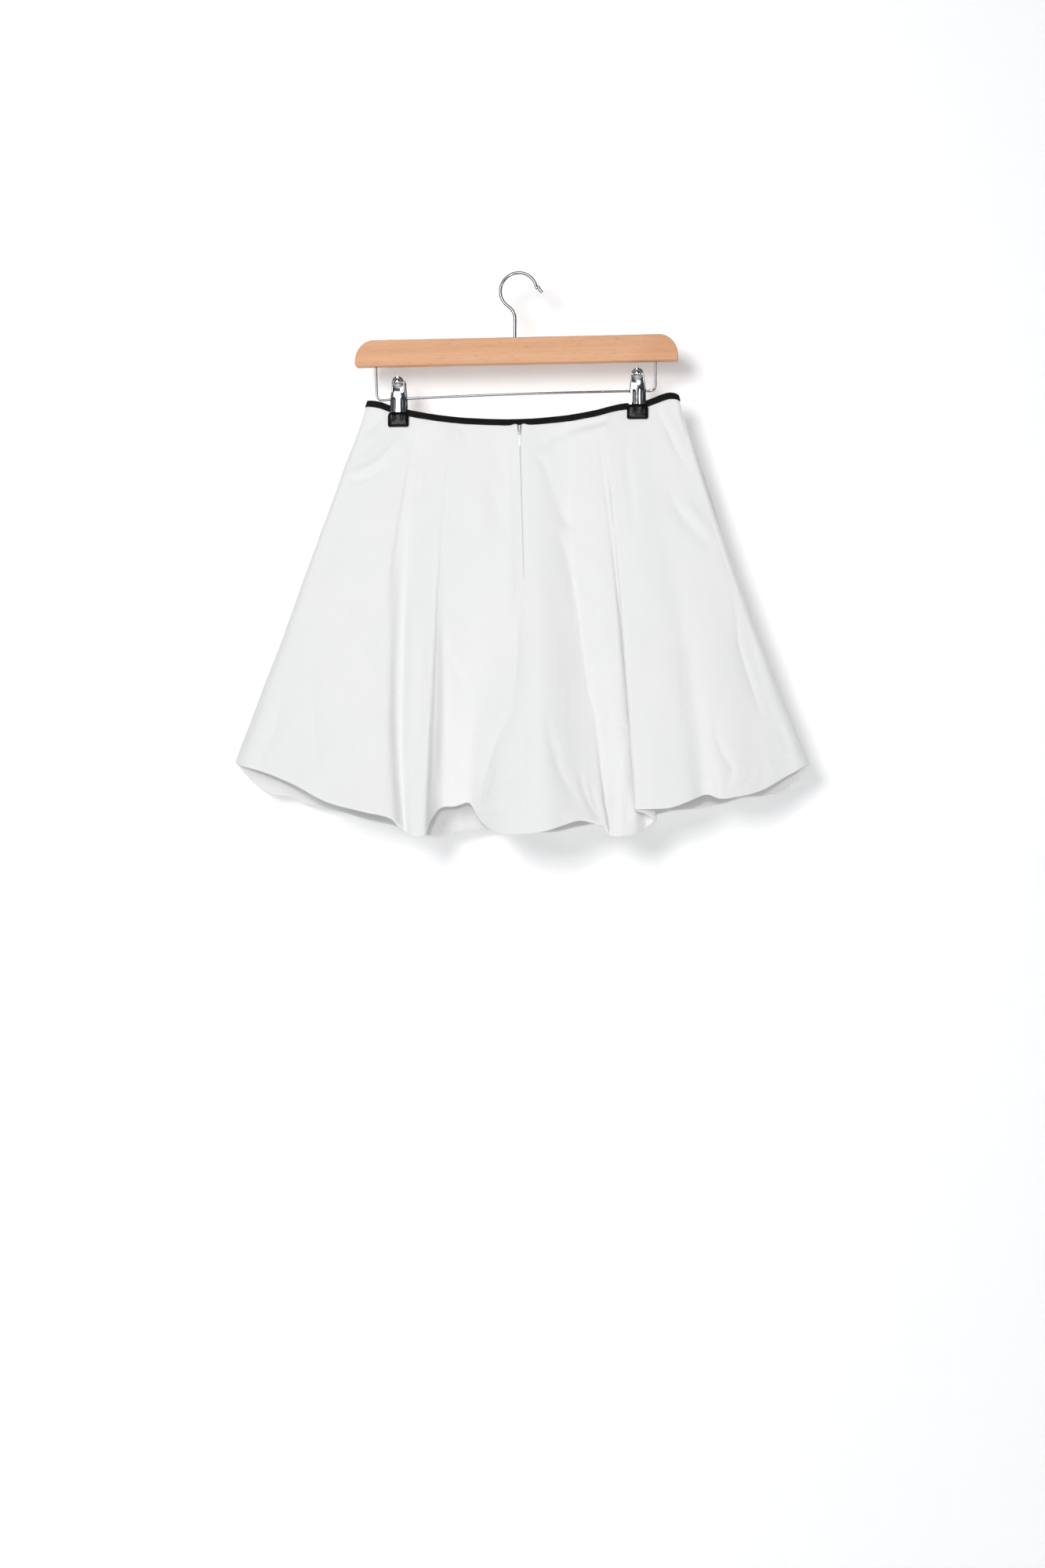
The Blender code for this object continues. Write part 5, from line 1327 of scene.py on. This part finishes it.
def stage_plane(name, corners, material):
    mesh = bpy.data.meshes.new(name)
    mesh.from_pydata(corners, [], [(0, 1, 2, 3)])
    mesh.materials.append(material)
    made = bpy.data.objects.new(name, mesh)
    bpy.context.scene.collection.objects.link(made)
    return made


def backdrop_material():
    """White wall that shows from its front only and lets light through to the garment's far side."""
    material = bpy.data.materials.new("white_backdrop")
    material.use_nodes = True
    tree = material.node_tree
    output = tree.nodes["Material Output"]
    tree.nodes.remove(tree.nodes["Principled BSDF"])
    paint = shader_node(tree, "ShaderNodeBsdfDiffuse", Color=(0.96, 0.96, 0.96, 1.0))
    clear = shader_node(tree, "ShaderNodeBsdfTransparent")
    glow = shader_node(tree, "ShaderNodeEmission", Color=(1.0, 1.0, 1.0, 1.0), Strength=0.20)
    lit = shader_node(tree, "ShaderNodeAddShader", n0=paint.outputs[0], n1=glow.outputs[0])
    behind = shader_node(tree, "ShaderNodeNewGeometry").outputs["Backfacing"]
    shadow = shader_node(tree, "ShaderNodeLightPath").outputs["Is Shadow Ray"]
    unseen = maths(tree, "MAXIMUM", behind, shadow)
    mix = shader_node(tree, "ShaderNodeMixShader", n0=unseen, n1=lit.outputs[0], n2=clear.outputs[0])
    tree.links.new(mix.outputs[0], output.inputs["Surface"])
    return material


def floor_material():
    return new_material("pale_floor", Base_Color=(0.86, 0.86, 0.86, 1.0), Roughness=0.7)[0]


def light_receivers(name, lit, excluded=False):
    """A collection that keeps a light to one object, or keeps it off that object."""
    receivers = bpy.data.collections.new(name)
    receivers.objects.link(lit)
    if excluded:
        receivers.collection_objects[0].light_linking.link_state = "EXCLUDE"
    return receivers


def area_light(name, place, aim, size, power, colour, receivers):
    data = bpy.data.lights.new(name, "AREA")
    data.shape = "SQUARE"
    data.size = size
    data.energy = power
    data.color = colour
    made = bpy.data.objects.new(name, data)
    made.location = place
    made.rotation_euler = (Vector(aim) - Vector(place)).to_track_quat("-Z", "Y").to_euler()
    bpy.context.scene.collection.objects.link(made)
    if receivers:
        made.light_linking.receiver_collection = receivers


def studio_air():
    """The room's own light: dark on the camera's side, pale behind the garment, plain where seen."""
    air = bpy.data.worlds.new("studio_air")
    air.use_nodes = True
    tree = air.node_tree
    place = shader_node(tree, "ShaderNodeTexCoord").outputs["Generated"]
    split = shader_node(tree, "ShaderNodeSeparateXYZ", n0=place)
    room = spread_out(tree, split.outputs["Y"], -0.9, 0.5, 0.0, 1.0)
    lit = mixed_colour(tree, room, (0.03, 0.035, 0.045, 1.0), (0.24, 0.245, 0.26, 1.0))
    seen = shader_node(tree, "ShaderNodeLightPath").outputs["Is Camera Ray"]
    tint = mixed_colour(tree, seen, lit, (0.86, 0.87, 0.88, 1.0))
    tree.links.new(tint, tree.nodes["Background"].inputs["Color"])
    bpy.context.scene.world = air


def studio():
    wall_corners = [(-3.0, WALL_Y, FLOOR_Z), (3.0, WALL_Y, FLOOR_Z), (3.0, WALL_Y, 2.2), (-3.0, WALL_Y, 2.2)]
    floor_corners = [(x, y, FLOOR_Z) for x, y in ((-5.0, -5.0), (5.0, -5.0), (5.0, 5.0), (-5.0, 5.0))]
    backdrop = stage_plane("backdrop", wall_corners, backdrop_material())
    stage_plane("floor", floor_corners, floor_material())
    no_wall = light_receivers("not_under_the_lamps", backdrop, excluded=True)
    wall_only = light_receivers("under_the_wall_light", backdrop)
    middle, lower, white = (0.0, 0.0, -0.40), (0.0, 0.0, -0.5), (1.0, 1.0, 1.0)
    lights = (
        ("lamp", (0.16, -2.6, -0.27), lower, 0.07, 15.0, (1.0, 1.0, 0.975), no_wall),
        ("left_lamp", (-1.75, -1.9, -0.22), lower, 0.35, 3.5, (0.97, 0.985, 1.0), no_wall),
        ("right_lamp", (1.9, -1.9, -0.3), lower, 0.35, 5.0, (1.0, 1.0, 0.97), no_wall),
        ("front_box", (0.20, -2.7, -0.40), lower, 0.5, 6.0, white, None),
        ("key", (-0.66, -2.5, 0.28), middle, 0.95, 32.0, (0.985, 0.99, 1.0), None),
        ("wall_light", (-0.66, -2.5, 0.28), middle, 0.8, 14.5, white, wall_only),
        ("right_box", (1.9, -2.2, -0.2), middle, 1.3, 2.0, (1.0, 1.0, 0.96), None),
        ("top_box", (-0.2, -1.7, 1.9), middle, 1.3, 2.3, white, None),
        ("low_box", (-0.3, -2.1, -1.45), (0.0, 0.0, -0.55), 1.3, 1.0, white, None),
        ("rear_left", (-1.3, 2.1, 0.6), middle, 0.7, 8.0, white, None),
        ("rear_right", (1.5, 1.9, 0.2), middle, 1.0, 3.0, white, None),
    )
    for light in lights:
        area_light(*light)
    studio_air()


def camera():
    """Where the photographer stood: level with the skirt, six degrees to its right."""
    turn, distance = radians(6.0), 2.42
    target = Vector((0.00446, 0.0, -0.5665))
    data = bpy.data.cameras.new("camera")
    data.lens = 50.0
    data.sensor_fit = "VERTICAL"
    data.sensor_height = 36.0
    made = bpy.data.objects.new("camera", data)
    made.location = target + distance * Vector((sin(turn), -cos(turn), 0.0))
    made.rotation_euler = (radians(90.0), 0.0, turn)
    bpy.context.scene.collection.objects.link(made)
    bpy.context.scene.camera = made


bpy.context.scene.view_settings.view_transform = "Standard"
camera()
studio()
hanger()
skirt()
